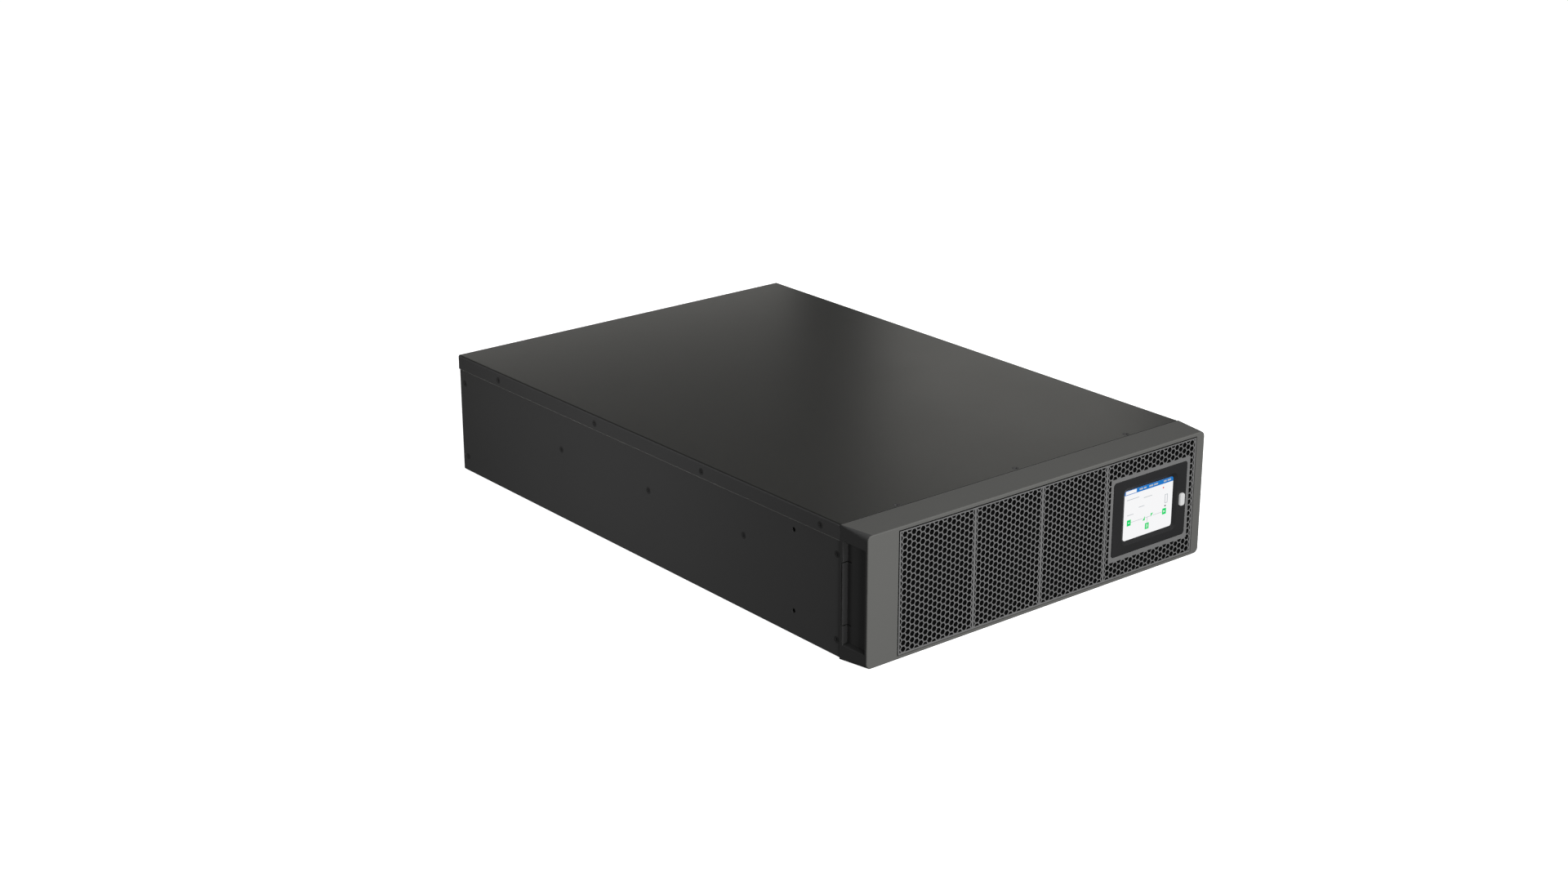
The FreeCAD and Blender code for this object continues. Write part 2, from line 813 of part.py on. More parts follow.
def display_board():
    """Circuit board behind the screen, with its connector and lamp driver."""
    y0 = display_board_front
    y1 = y0 + board_thickness
    board = block(display_centre_x, y0, y1, display_centre_z, panel_width, panel_height)
    plug = block(display_centre_x - panel_width / 4, y1, y1 + header_depth,
                 display_centre_z, header_width, header_height)
    chip = block(display_centre_x + panel_width / 4, y1, y1 + chip_height,
                 display_centre_z, chip_size, chip_size)
    return board.fuse([plug, chip])


fan_front_y = panel_inner_y - fan_depth
fan_base_y = panel_inner_y - fan_base_thickness


def fan_frame(x):
    """Square frame with the struts and base that carry the rotor."""
    frame = block(x, fan_front_y, panel_inner_y, fan_z, fan_size, fan_size)
    frame = frame.cut(rod(fan_bore_radius, V(x, fan_front_y - cutter_reach, fan_z),
                          V(x, panel_inner_y + cutter_reach, fan_z)))
    base = rod(fan_hub_radius, V(x, fan_base_y, fan_z), V(x, panel_inner_y, fan_z))
    strut = box(x - fan_strut_width / 2, x + fan_strut_width / 2, fan_base_y, panel_inner_y,
                fan_z, fan_z + fan_bore_radius + sheet)
    struts = []
    for index in range(fan_strut_count):
        turned = strut.copy()
        turned.rotate(V(x, 0, fan_z), V(0, 1, 0), 360 * index / fan_strut_count)
        struts.append(turned)
    frame = frame.fuse([base] + struts)
    bore = rod(fan_shaft_radius + fan_running_clearance, V(x, fan_base_y - cutter_reach, fan_z),
               V(x, fan_base_y + fan_shaft_seat + seat_clearance, fan_z))
    return frame.cut(bore)


def blade_section(x, radius, chord_length, angle, y):
    """Thin slanted rectangle across one blade, at one radius."""
    radial = V(math.cos(angle), 0, math.sin(angle))
    tangent = V(-math.sin(angle), 0, math.cos(angle))
    lean = math.radians(blade_pitch)
    along = tangent * math.sin(lean) + V(0, math.cos(lean), 0)
    across = tangent * math.cos(lean) - V(0, math.sin(lean), 0)
    centre = V(x, y, fan_z) + radial * radius
    chord = along * (chord_length / 2)
    half = across * (blade_thickness / 2)
    points = [centre - chord - half, centre + chord - half, centre + chord + half, centre - chord + half]
    return Part.makePolygon(points + points[:1])


def fan_rotor(x):
    """Hub with its blades and shaft."""
    hub_front = fan_front_y + fan_axial_clearance
    hub_back = fan_base_y - fan_axial_clearance
    middle = (hub_front + hub_back) / 2
    ring = ring_points(V(x, hub_front, fan_z), fan_hub_radius, fan_hub_sides, V(1, 0, 0), V(0, 0, 1))
    rotor = prism(ring, V(0, hub_back - hub_front, 0))
    blades = []
    for index in range(blade_count):
        angle = 2 * math.pi * index / blade_count
        root = blade_section(x, fan_hub_radius - fan_blade_root, blade_root_chord, angle, middle)
        tip = blade_section(x, fan_tip_radius, blade_tip_chord, angle, middle)
        blades.append(Part.makeLoft([root, tip], True, True))
    shaft = rod(fan_shaft_radius, V(x, middle, fan_z), V(x, fan_base_y + fan_shaft_seat, fan_z))
    return rotor.fuse(blades + [shaft]).removeSplitter()


def fan_vents(x):
    """Rows of exhaust slots, each as long as the fan's circle is wide there."""
    rows = math.floor((fan_vent_radius - fan_vent_slot / 2) / fan_vent_pitch)
    slots = []
    for row in range(-rows, rows + 1):
        edge = abs(row) * fan_vent_pitch + fan_vent_slot / 2
        chord = 2 * math.sqrt(fan_vent_radius ** 2 - edge ** 2)
        slots.append(block(x, panel_inner_y - cutter_reach, rear_y + cutter_reach,
                           fan_z + row * fan_vent_pitch, chord, fan_vent_slot))
    return slots


def panel_cutout(x, z, width, height):
    """Cutter for a window in the rear panel, with clearance round its piece."""
    return block(x, panel_inner_y - cutter_reach, rear_y + cutter_reach, z,
                 width + 2 * cutout_clearance, height + 2 * cutout_clearance)


def rear_panel():
    """Rear wall with the fan vents and the cut-outs of the connectors."""
    pan = folded_pan(rear_y, -1, sheet, cover_under)
    cuts = []
    for x in (fan_left_x, fan_right_x):
        cuts += fan_vents(x)
    cuts.append(panel_cutout(breaker_x, breaker_z, breaker_width, breaker_height))
    cuts.append(panel_cutout(signal_x, connector_z, connector_width, connector_height))
    cuts.append(panel_cutout(hood_x, terminal_z, terminal_width, terminal_height))
    cuts.append(panel_cutout(signal_x, slot_z, slot_width - 2 * slot_ledge, slot_height - 2 * slot_lip))
    cuts.append(panel_cutout(breaker_x, serial_z, serial_shell_width, serial_shell_height))
    cuts.append(panel_cutout(breaker_x, usb_z, usb_size, usb_size))
    cuts.append(panel_cutout(signal_x, contact_z, contact_width, contact_height))
    cuts.append(rod(stud_radius + cutout_clearance, V(stud_x, panel_inner_y - cutter_reach, stud_z),
                    V(stud_x, rear_y + cutter_reach, stud_z)))
    return pan.cut(cuts)


slot_ledge = 2 * slot_screw_inset


def terminal_hood():
    """Hood over the terminals, with two cable entries."""
    x0 = hood_x - hood_width / 2
    x1 = hood_x + hood_width / 2
    lid_y = rear_y + hood_depth
    hood = box(x0, x1, rear_y, lid_y, hood_low, hood_high)
    side_edges = [e for e in hood.Edges if all(abs(v.Y - lid_y) < sheet / 2 for v in e.Vertexes)
                  and abs(e.Vertexes[0].X - e.Vertexes[-1].X) < sheet / 2]
    hood = hood.makeFillet(bend_radius, side_edges)
    hood = hood.cut(box(x0 + sheet, x1 - sheet, rear_y - cutter_reach, lid_y - sheet,
                        hood_low + sheet, hood_high - sheet))
    holes = [rod(plug_radius + cutout_clearance, V(x, lid_y - sheet - cutter_reach, plug_z),
                 V(x, lid_y + cutter_reach, plug_z)) for x in plug_xs]
    return hood.cut(holes)


plug_xs = [hood_x - plug_spacing / 2, hood_x + plug_spacing / 2]
hood_screw_places = [(hood_x + side * (hood_width / 2 - hood_lip), z)
                     for side in (-1, 1) for z in (hood_low + hood_lip, hood_high - hood_lip)]


def cable_plugs():
    """Rubber blanks in the cable entries."""
    plugs = []
    lid_y = rear_y + hood_depth
    for x in plug_xs:
        plugs.append(rod(plug_radius, V(x, lid_y - plug_thickness, plug_z), V(x, lid_y, plug_z)))
    return plugs


def hood_screws():
    """Pan head screws of the terminal hood."""
    screws = []
    lid_y = rear_y + hood_depth
    for x, z in hood_screw_places:
        screws.append(screw_prism(V(x, lid_y, z), V(0, hood_screw_head, 0), screw_head_radius))
    return screws


def terminal_block():
    """Power terminals in a barrier strip."""
    front = rear_y - terminal_depth
    strip = block(hood_x, front, rear_y + sheet, terminal_z, terminal_width, terminal_height)
    way = terminal_width / terminal_ways
    cells = []
    for index in range(terminal_ways):
        x = hood_x - terminal_width / 2 + (index + 0.5) * way
        cells.append(block(x, rear_y - terminal_depth / 4, rear_y + sheet + cutter_reach, terminal_z,
                           way - terminal_wall, terminal_height / 2))
    return strip.cut(cells)


def card_slot_cover():
    """Blank plate over the communication card slot."""
    return block(signal_x, rear_y, rear_y + slot_cover_thickness, slot_z, slot_width, slot_height)


slot_screw_xs = [signal_x + side * (slot_width / 2 - slot_screw_inset) for side in (-1, 1)]


def slot_screws():
    """Thumb screws of the slot cover."""
    screws = []
    for x in slot_screw_xs:
        base = rear_y + slot_cover_thickness
        screws.append(screw_prism(V(x, base, slot_z), V(0, slot_screw_height, 0), slot_screw_radius))
    return screws


def card_guides():
    """Grooved rails of the communication card, one at each side of the slot."""
    guides = []
    for side in (-1, 1):
        x = signal_x + side * (slot_width / 2 - slot_ledge + guide_width / 2)
        rail = block(x, panel_inner_y - guide_length, panel_inner_y, slot_z, guide_width, guide_height)
        groove_x = x - side * guide_width / 2
        groove = block(groove_x, panel_inner_y - guide_length - cutter_reach, panel_inner_y + cutter_reach,
                       slot_z, guide_width, guide_groove)
        guides.append(rail.cut(groove))
    return guides


def serial_port():
    """Serial connector with its trapezoid shell."""
    flange = block(breaker_x, panel_inner_y - sheet, panel_inner_y, serial_z, serial_width, serial_height)
    half = serial_shell_width / 2
    foot = half - serial_shell_lean
    tall = serial_shell_height / 2
    y0 = panel_inner_y - serial_depth
    points = [V(breaker_x - half, y0, serial_z + tall), V(breaker_x + half, y0, serial_z + tall),
              V(breaker_x + foot, y0, serial_z - tall), V(breaker_x - foot, y0, serial_z - tall)]
    shell = prism(points, V(0, serial_depth + sheet + serial_shell_proud, 0))
    return flange.fuse(shell)


def usb_port():
    """Square data socket with its inner tongue."""
    y1 = rear_y + usb_proud
    body = block(breaker_x, rear_y - usb_depth, y1, usb_z, usb_size, usb_size)
    inside = usb_size - 2 * usb_wall
    well = block(breaker_x, rear_y - usb_depth / 2, y1 + cutter_reach, usb_z, inside, inside)
    tongue = block(breaker_x, rear_y - usb_depth / 2, rear_y, usb_z, usb_tongue, usb_tongue)
    return body.cut(well).fuse(tongue)


def contact_block():
    """Signal contacts as a row of small clamps."""
    y1 = rear_y + contact_proud
    body = block(signal_x, rear_y - contact_depth, y1, contact_z, contact_width, contact_height)
    way = contact_width / contact_ways
    wells = []
    for index in range(contact_ways):
        x = signal_x - contact_width / 2 + (index + 0.5) * way
        wells.append(block(x, y1 - contact_proud / 2, y1 + cutter_reach, contact_z,
                           way - sheet, contact_height / 2))
    return body.cut(wells)


def earth_stud():
    """Protective earth stud with the nut that clamps it in the panel."""
    start = rear_y - sheet
    stud = rod(stud_radius, V(stud_x, start, stud_z), V(stud_x, rear_y + stud_length, stud_z))
    head = hex_bar(V(stud_x, start - stud_nut_height, stud_z), stud_nut_radius, V(0, stud_nut_height, 0))
    nut = hex_bar(V(stud_x, rear_y, stud_z), stud_nut_radius, V(0, stud_nut_height, 0))
    return stud.fuse([head, nut])


lever_face_y = rear_y + breaker_proud
lever_pivot = V(breaker_x, lever_face_y - lever_pivot_inset, breaker_z)


def input_breaker():
    """Two pole breaker with the slot and bearings of its lever."""
    body = block(breaker_x, lever_face_y - breaker_depth, lever_face_y, breaker_z,
                 breaker_width, breaker_height)
    slot = block(breaker_x, lever_face_y - lever_slot_depth, lever_face_y + cutter_reach, breaker_z,
                 lever_slot_width, lever_slot_height)
    reach = V(lever_slot_width / 2 + lever_pin_length + lever_side_clearance, 0, 0)
    bearing = rod(lever_pin_radius + lever_pin_clearance, lever_pivot - reach, lever_pivot + reach)
    return body.cut([slot, bearing])


def breaker_lever():
    """Toggle lever on its pin, drawn straight and then turned down to rest."""
    half = lever_slot_width / 2 - lever_side_clearance
    along = V(half, 0, 0)
    hub = rod(lever_hub_radius, lever_pivot - along, lever_pivot + along)
    pin_reach = V(lever_slot_width / 2 + lever_pin_length, 0, 0)
    pin = rod(lever_pin_radius, lever_pivot - pin_reach, lever_pivot + pin_reach)
    handle = block(breaker_x, lever_pivot.y, lever_pivot.y + lever_reach, breaker_z,
                   2 * half, lever_thickness)
    lever = hub.fuse([pin, handle])
    lever.rotate(lever_pivot, V(1, 0, 0), lever_rest_angle)
    return lever.removeSplitter()


def battery_connector():
    """Two pole socket for the battery lead."""
    y1 = rear_y + connector_proud
    body = block(signal_x, y1 - connector_depth, y1, connector_z, connector_width, connector_height)
    wells = []
    for side in (-1, 1):
        wells.append(block(signal_x + side * connector_width / 4, y1 - cavity_depth,
                           y1 + cutter_reach, connector_z, cavity_width, cavity_height))
    return body.cut(wells)


def spacer_set(places, z0, height):
    """Hexagonal spacers at the given places."""
    return [hex_bar(V(x, y, z0), spacer_radius, V(0, 0, height)) for x, y in places]


def board_spacers():
    """Spacers under the power board."""
    inset = 2 * spacer_radius
    xs = [-power_board_width / 2 + inset, 0, power_board_width / 2 - inset]
    ys = [power_board_y + inset, power_board_end - inset]
    return spacer_set([(x, y) for x in xs for y in ys], sheet, spacer_height)


def power_board():
    """Main circuit board of the converter."""
    half = power_board_width / 2
    return box(-half, half, power_board_y, power_board_end, board_low, board_top)


def heatsink(side):
    """Extruded heatsink, its fins turned towards the side of the unit."""
    base_x = side * sink_spacing / 2
    back_x = base_x + side * sink_base
    tip_x = back_x + side * sink_fin_length
    sink = box(min(base_x, back_x), max(base_x, back_x), sink_y, sink_end,
               board_top, board_top + sink_height)
    pitch = (sink_height - sink_fin) / (sink_fin_count - 1)
    root_x = base_x + side * sink_base / 2
    for index in range(sink_fin_count):
        z = board_top + index * pitch
        sink = sink.fuse(box(min(root_x, tip_x), max(root_x, tip_x), sink_y, sink_end, z, z + sink_fin))
    return sink.removeSplitter()


def power_transistors():
    """Transistors clamped to the inner faces of both heatsinks."""
    cases = []
    transistor_count = math.floor((sink_end - sink_y) / transistor_pitch)
    for side in (-1, 1):
        face_x = side * sink_spacing / 2
        inner_x = face_x - side * transistor_thickness
        for index in range(transistor_count):
            y = sink_y + transistor_pitch * (index + 0.5)
            z = board_top + transistor_rise
            cases.append(box(min(face_x, inner_x), max(face_x, inner_x), y, y + transistor_width,
                             z, z + transistor_height))
    return cases


def bus_capacitors():
    """Rows of electrolytic capacitors down the middle of the board."""
    cans = []
    for row in range(capacitor_rows):
        x = (row - (capacitor_rows - 1) / 2) * capacitor_pitch
        for index in range(capacitor_count):
            y = sink_y + capacitor_pitch * (index + 0.5)
            ring = ring_points(V(x, y, board_top), capacitor_radius, capacitor_sides, V(1, 0, 0), V(0, 1, 0))
            cans.append(prism(ring, V(0, 0, capacitor_height)))
    return cans


choke_start = sink_y + capacitor_pitch * capacitor_count
choke_count = math.floor((power_board_end - choke_start) / choke_spacing)
choke_ys = [choke_start + choke_spacing * (index + 0.5) for index in range(choke_count)]
choke_window = (choke_length - 3 * choke_leg) / 2


def choke_cores():
    """Ferrite cores of the inductors, a closed frame with a middle leg."""
    cores = []
    for y in choke_ys:
        core = box(-choke_width / 2, choke_width / 2, y - choke_length / 2, y + choke_length / 2,
                   board_top, board_top + choke_height)
        for side in (-1, 1):
            middle = y + side * (choke_leg + choke_window) / 2
            core = core.cut(box(-choke_width, choke_width, middle - choke_window / 2,
                                middle + choke_window / 2, board_top + choke_leg,
                                board_top + choke_height - choke_leg))
        cores.append(core)
    return cores


def choke_windings():
    """Windings round the middle legs of the cores."""
    windings = []
    z0 = board_top + choke_leg + coil_clearance
    z1 = board_top + choke_height - choke_leg - coil_clearance
    for y in choke_ys:
        reach_y = choke_leg / 2 + choke_window - coil_clearance
        reach_x = choke_width / 2 + winding_reach
        coil = box(-reach_x, reach_x, y - reach_y, y + reach_y, z0, z1)
        hole_x = choke_width / 2 + coil_clearance
        leg_y = choke_leg / 2 + coil_clearance
        coil = coil.cut(box(-hole_x, hole_x, y - leg_y, y + leg_y, z0 - cutter_reach, z1 + cutter_reach))
        windings.append(coil)
    return windings


def film_capacitors():
    """Film capacitors at the front end of the power board."""
    blocks = []
    for index in range(film_count):
        x = (index - (film_count - 1) / 2) * film_pitch
        blocks.append(box(x - film_length / 2, x + film_length / 2, power_board_y + sheet,
                          power_board_y + sheet + film_width, board_top, board_top + film_height))
    return blocks


def power_relays():
    """Relays at the rear end of the power board."""
    relays = []
    relay_count = math.floor((power_board_width - sink_spacing) / 2 / (relay_width + sheet))
    for side in (-1, 1):
        for index in range(relay_count):
            x = side * (sink_spacing / 2 + relay_width / 2 + index * (relay_width + sheet))
            y = power_board_end - relay_length - sheet
            relays.append(box(x - relay_width / 2, x + relay_width / 2, y, y + relay_length,
                              board_top, board_top + relay_height))
    return relays


def upper_deck():
    """Shelf screwed between the sides, with its edges folded up."""
    deck = folded_channel(pan_half, deck_height, deck_height + flange_length, deck_y, deck_end)
    windows = [box(x - deck_window_width / 2, x + deck_window_width / 2,
                   deck_end - deck_window_length, deck_end - flange_length,
                   deck_height - cutter_reach, deck_top + cutter_reach)
               for x in (-sink_spacing / 2, sink_spacing / 2)]
    return deck.cut(windows)


def board_corners(x, y, width, length):
    """Spacer places near the four corners of a board."""
    inset = 2 * spacer_radius
    return [(x + a * (width / 2 - inset), y + length / 2 + b * (length / 2 - inset))
            for a in (-1, 1) for b in (-1, 1)]


def deck_spacers():
    """Spacers under the boards on the deck."""
    places = board_corners(control_x, control_y, control_width, control_length)
    places += board_corners(charger_x, control_y, charger_width, charger_length)
    return spacer_set(places, deck_top, deck_spacer_height)


def control_board():
    """Control board with its processor and headers."""
    half = control_width / 2
    x = control_x
    board = box(x - half, x + half, control_y, control_y + control_length, deck_board_low, deck_board_top)
    chip = box(x - chip_size / 2, x + chip_size / 2, control_y + chip_size, control_y + 2 * chip_size,
               deck_board_top, deck_board_top + chip_height)
    headers = [box(x + side * half / 2 - header_width / 2, x + side * half / 2 + header_width / 2,
                   control_y + control_length - 2 * header_depth, control_y + control_length - header_depth,
                   deck_board_top, deck_board_top + header_height) for side in (-1, 1)]
    return board.fuse([chip] + headers)


def charger_board():
    """Board of the battery charger."""
    half = charger_width / 2
    return box(charger_x - half, charger_x + half, control_y, control_y + charger_length,
               deck_board_low, deck_board_top)


def charger_transformer():
    """Transformer on the charger board, core and winding in one."""
    y = face_y + transformer_front
    half = transformer_size / 2
    top = cover_under - transformer_gap
    core = box(charger_x - half, charger_x + half, y, y + transformer_size, deck_board_top, top)
    bobbin = box(charger_x - half - winding_reach, charger_x + half + winding_reach,
                 y + transformer_core, y + transformer_size - transformer_core,
                 deck_board_top + winding_reach, top - winding_reach)
    return core.fuse(bobbin)


def filter_board():
    """Mains filter board in front of the terminal block."""
    return box(hood_x - filter_width / 2, hood_x + filter_width / 2, filter_y, filter_y + filter_length,
               board_low, board_top)


def filter_spacers():
    """Spacers under the filter board."""
    places = board_corners(hood_x, filter_y, filter_width, filter_length)
    return spacer_set(places, sheet, spacer_height)


def filter_choke():
    """Common mode choke, a thick ring that lies on the filter board."""
    centre = V(hood_x, filter_y + filter_length / 2, board_top)
    top = centre + V(0, 0, filter_choke_height)
    path = top - centre
    ring = prism(ring_points(centre, filter_choke_radius, capacitor_sides, V(1, 0, 0), V(0, 1, 0)), path)
    bore_ring = ring_points(centre - path, filter_choke_bore, capacitor_sides, V(1, 0, 0), V(0, 1, 0))
    bore = prism(bore_ring, path * 3)
    return ring.cut(bore)


def write(node, shape):
    """Save one node's solids and report what they are."""
    solids = shape if isinstance(shape, list) else [shape]
    found = [solid for item in solids for solid in item.Solids]
    whole = found[0] if len(found) == 1 else Part.makeCompound(found)
    whole.exportStep("parts/" + node + ".step")
    faults = sum(not solid.isValid() for solid in found)
    print(node, len(found), "solids", "INVALID" if faults else "ok", round(whole.Volume))


nodes = {
    "base_tray": base_tray(),
    "top_cover": top_cover(),
    "front_bulkhead": front_bulkhead(),
    "rear_panel": rear_panel(),
    "bezel": bezel(),
    "grille": grille(),
    "display_panel": display_panel(),
    "screen": screen(),
    "status_lamp": status_lamp(),
    "display_board": display_board(),
    "ear_nuts": ear_nuts(),
    "cover_screws": [screw(*point) for point in cover_points],
    "side_screws": [screw(*point) for point in deck_points + front_points + rear_points],
    "top_screws": [screw(*point) for point in top_points],
    "fan_frame_left": fan_frame(fan_left_x),
    "fan_frame_right": fan_frame(fan_right_x),
    "fan_rotor_left": fan_rotor(fan_left_x),
    "fan_rotor_right": fan_rotor(fan_right_x),
    "input_breaker": input_breaker(),
    "breaker_lever": breaker_lever(),
    "battery_connector": battery_connector(),
    "terminal_hood": terminal_hood(),
    "terminal_block": terminal_block(),
    "cable_plugs": cable_plugs(),
    "hood_screws": hood_screws(),
    "card_slot_cover": card_slot_cover(),
    "slot_screws": slot_screws(),
    "card_guides": card_guides(),
    "serial_port": serial_port(),
    "usb_port": usb_port(),
    "contact_block": contact_block(),
    "earth_stud": earth_stud(),
    "board_spacers": board_spacers(),
    "power_board": power_board(),
    "heatsink_left": heatsink(-1),
    "heatsink_right": heatsink(1),
    "power_transistors": power_transistors(),
    "bus_capacitors": bus_capacitors(),
    "choke_cores": choke_cores(),
    "choke_windings": choke_windings(),
    "film_capacitors": film_capacitors(),
    "power_relays": power_relays(),
    "upper_deck": upper_deck(),
    "deck_spacers": deck_spacers(),
    "control_board": control_board(),
    "charger_board": charger_board(),
    "charger_transformer": charger_transformer(),
    "filter_spacers": filter_spacers(),
    "filter_board": filter_board(),
    "filter_choke": filter_choke(),
}

for name, pieces in nodes.items():
    write(name, pieces)
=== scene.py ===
import json
import logging
import math
from collections.abc import Callable
from dataclasses import dataclass, field
from enum import Enum

import bmesh
import bpy
from mathutils import Matrix, Vector


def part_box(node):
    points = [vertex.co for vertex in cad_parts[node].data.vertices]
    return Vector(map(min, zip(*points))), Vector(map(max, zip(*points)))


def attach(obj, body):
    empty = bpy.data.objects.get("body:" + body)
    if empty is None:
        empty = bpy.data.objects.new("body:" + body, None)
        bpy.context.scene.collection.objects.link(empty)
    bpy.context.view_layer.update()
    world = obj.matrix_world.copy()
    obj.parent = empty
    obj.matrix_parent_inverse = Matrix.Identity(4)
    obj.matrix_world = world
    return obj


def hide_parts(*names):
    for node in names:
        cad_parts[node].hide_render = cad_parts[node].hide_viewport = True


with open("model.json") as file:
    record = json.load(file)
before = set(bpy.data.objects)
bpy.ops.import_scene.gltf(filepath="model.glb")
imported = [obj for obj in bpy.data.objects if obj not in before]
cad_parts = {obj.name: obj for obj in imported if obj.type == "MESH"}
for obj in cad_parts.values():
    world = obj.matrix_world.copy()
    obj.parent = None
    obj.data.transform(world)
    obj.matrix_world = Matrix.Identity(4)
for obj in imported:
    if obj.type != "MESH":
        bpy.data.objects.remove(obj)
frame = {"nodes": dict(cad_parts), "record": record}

# Short names of the types that come up most.
Color = tuple[float, float, float]
Pair = tuple[float, float]
Area = tuple[float, float, float, float]
Tree = bpy.types.NodeTree
Node = bpy.types.Node
Socket = bpy.types.NodeSocket
Vert = bmesh.types.BMVert
Edge = bmesh.types.BMEdge
Face = bmesh.types.BMFace

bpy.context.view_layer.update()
LOG = logging.getLogger("rack_power_supply")
STATIC_BODY = "chassis"
FINISH_SUFFIX = "_finish"
REAR = Vector((0, 1, 0))
UP = Vector((0, 0, 1))
# Vertices nearer than WELD are one, and a gap of HAIR is too small to see.
WELD = 1e-6
HAIR = 1e-5
HEX_SIDES = 6
# Faces within FLAT of one plane are joined, and edges over STEEP are rounded.
FLAT = math.radians(0.5)
STEEP = math.radians(35)
# Edges over this many degrees stay sharp on a made piece and on a rounded copy.
PIECE_SHARP = 30
COPY_SHARP = 50
# Layers of the noises, and how far they change colour, gloss and relief.
CLOUD_DETAIL = 6
GRAIN_DETAIL = 5
COARSE_DETAIL = 2
CLOUD_STOPS = (0.3, 0.7)
GLOSS_SPREAD = 0.08
GRAIN_STRENGTH = 0.6
BRUSH_STRETCH = (0.05, 1, 1)


class Grain(Enum):
    """Fine relief of a surface."""

    SMOOTH = "smooth"
    POWDER = "powder"
    MOULDED = "moulded"
    BRUSHED = "brushed"


def linear(color: Color) -> tuple[float, ...]:
    """Turn a screen colour, each part from 0 to 1, into the shader's linear colour."""
    knee, slope, offset, power = 0.04045, 12.92, 0.055, 2.4
    return (*[c / slope if c <= knee else ((c + offset) / (1 + offset)) ** power for c in color], 1.0)


@dataclass(frozen=True)
class Finish:
    """Procedural finish of one painted, moulded or bare surface."""

    name: str
    color: Color
    roughness: float = 0.5
    metallic: float = 0.0
    specular: float = 0.5
    coat: float = 0.0
    grain: Grain = Grain.MOULDED
    grain_size: float = 0.0006
    grain_depth: float = 0.00002
    mottle: float = 0.05
    mottle_size: float = 0.03

    def material(self) -> bpy.types.Material:
        """Build the finish as a node material, or return the one already built."""
        name = self.name + FINISH_SUFFIX
        known = bpy.data.materials.get(name)
        if known is not None:
            return known
        made = bpy.data.materials.new(name)
        made.use_nodes = True
        tree = made.node_tree
        shader = tree.nodes["Principled BSDF"]
        shader.inputs["Metallic"].default_value = self.metallic
        shader.inputs["Specular IOR Level"].default_value = self.specular
        if self.coat > 0:
            shader.inputs["Coat Weight"].default_value = self.coat
            shader.inputs["Coat Roughness"].default_value = self.roughness / 2
        place = tree.nodes.new("ShaderNodeTexCoord").outputs["Object"]
        self.tint(tree, place, shader)
        if self.grain is not Grain.SMOOTH:
            self.relief(tree, place, shader)
        return made

    def noise(self, tree: Tree, place: Socket, size: float,
              detail: float) -> Socket:
        """Add a noise with lumps of this size and so many finer layers, and return its value."""
        made = tree.nodes.new("ShaderNodeTexNoise")
        made.inputs["Scale"].default_value = 1 / size
        made.inputs["Detail"].default_value = detail
        tree.links.new(place, made.inputs["Vector"])
        return made.outputs["Fac"]

    def shade(self, tree: Tree, cloud: Socket, shader: Node,
              color: list[float], stops: Pair) -> None:
        """Let the base colour follow a noise from a darker to a paler one, which lie at the two stops."""
        ramp = tree.nodes.new("ShaderNodeValToRGB")
        shares = (1 - self.mottle, 1 + self.mottle)
        for end, stop, share in zip(ramp.color_ramp.elements, stops, shares):
            end.position = stop
            end.color = (*[min(c * share, 1) for c in color], 1)
        tree.links.new(cloud, ramp.inputs["Fac"])
        tree.links.new(ramp.outputs["Color"], shader.inputs["Base Color"])

    def tint(self, tree: Tree, place: Socket, shader: Node) -> None:
        """Vary the colour and the gloss softly over the surface."""
        cloud = self.noise(tree, place, self.mottle_size, CLOUD_DETAIL)
        self.shade(tree, cloud, shader, linear(self.color)[:3], CLOUD_STOPS)
        gloss = tree.nodes.new("ShaderNodeMapRange")
        gloss.inputs["To Min"].default_value = self.roughness * (1 - GLOSS_SPREAD)
        gloss.inputs["To Max"].default_value = min(self.roughness * (1 + GLOSS_SPREAD), 1)
        tree.links.new(cloud, gloss.inputs["Value"])
        tree.links.new(gloss.outputs["Result"], shader.inputs["Roughness"])

    def relief(self, tree: Tree, place: Socket, shader: Node) -> None:
        """Add the grain as a bump."""
        if self.grain is Grain.BRUSHED:
            stretch = tree.nodes.new("ShaderNodeMapping")
            stretch.inputs["Scale"].default_value = BRUSH_STRETCH
            tree.links.new(place, stretch.inputs["Vector"])
            place = stretch.outputs["Vector"]
        detail = COARSE_DETAIL if self.grain is Grain.POWDER else GRAIN_DETAIL
        bump = tree.nodes.new("ShaderNodeBump")
        bump.inputs["Strength"].default_value = GRAIN_STRENGTH
        bump.inputs["Distance"].default_value = self.grain_depth
        tree.links.new(self.noise(tree, place, self.grain_size, detail), bump.inputs["Height"])
        tree.links.new(bump.outputs["Normal"], shader.inputs["Normal"])


@dataclass(frozen=True)
class Lit(Finish):
    """Finish of a surface that glows by itself, such as a lit screen."""

    glow: float = 1.0
    body: float = 0.0

    def tint(self, tree: Tree, place: Socket, shader: Node) -> None:
        """Give the surface its glow over a dark or pale body."""
        pale = linear(self.color)
        shader.inputs["Emission Color"].default_value = pale
        shader.inputs["Emission Strength"].default_value = self.glow
        shader.inputs["Roughness"].default_value = self.roughness
        cloud = self.noise(tree, place, self.mottle_size, COARSE_DETAIL)
        self.shade(tree, cloud, shader, [c * self.body for c in pale[:3]], (0, 1))


def pixel(name: str, color: Color) -> Lit:
    """Make the finish of one colour of the lit screen."""
    return Lit(name, color, roughness=0.25, specular=0.15, grain=Grain.SMOOTH)


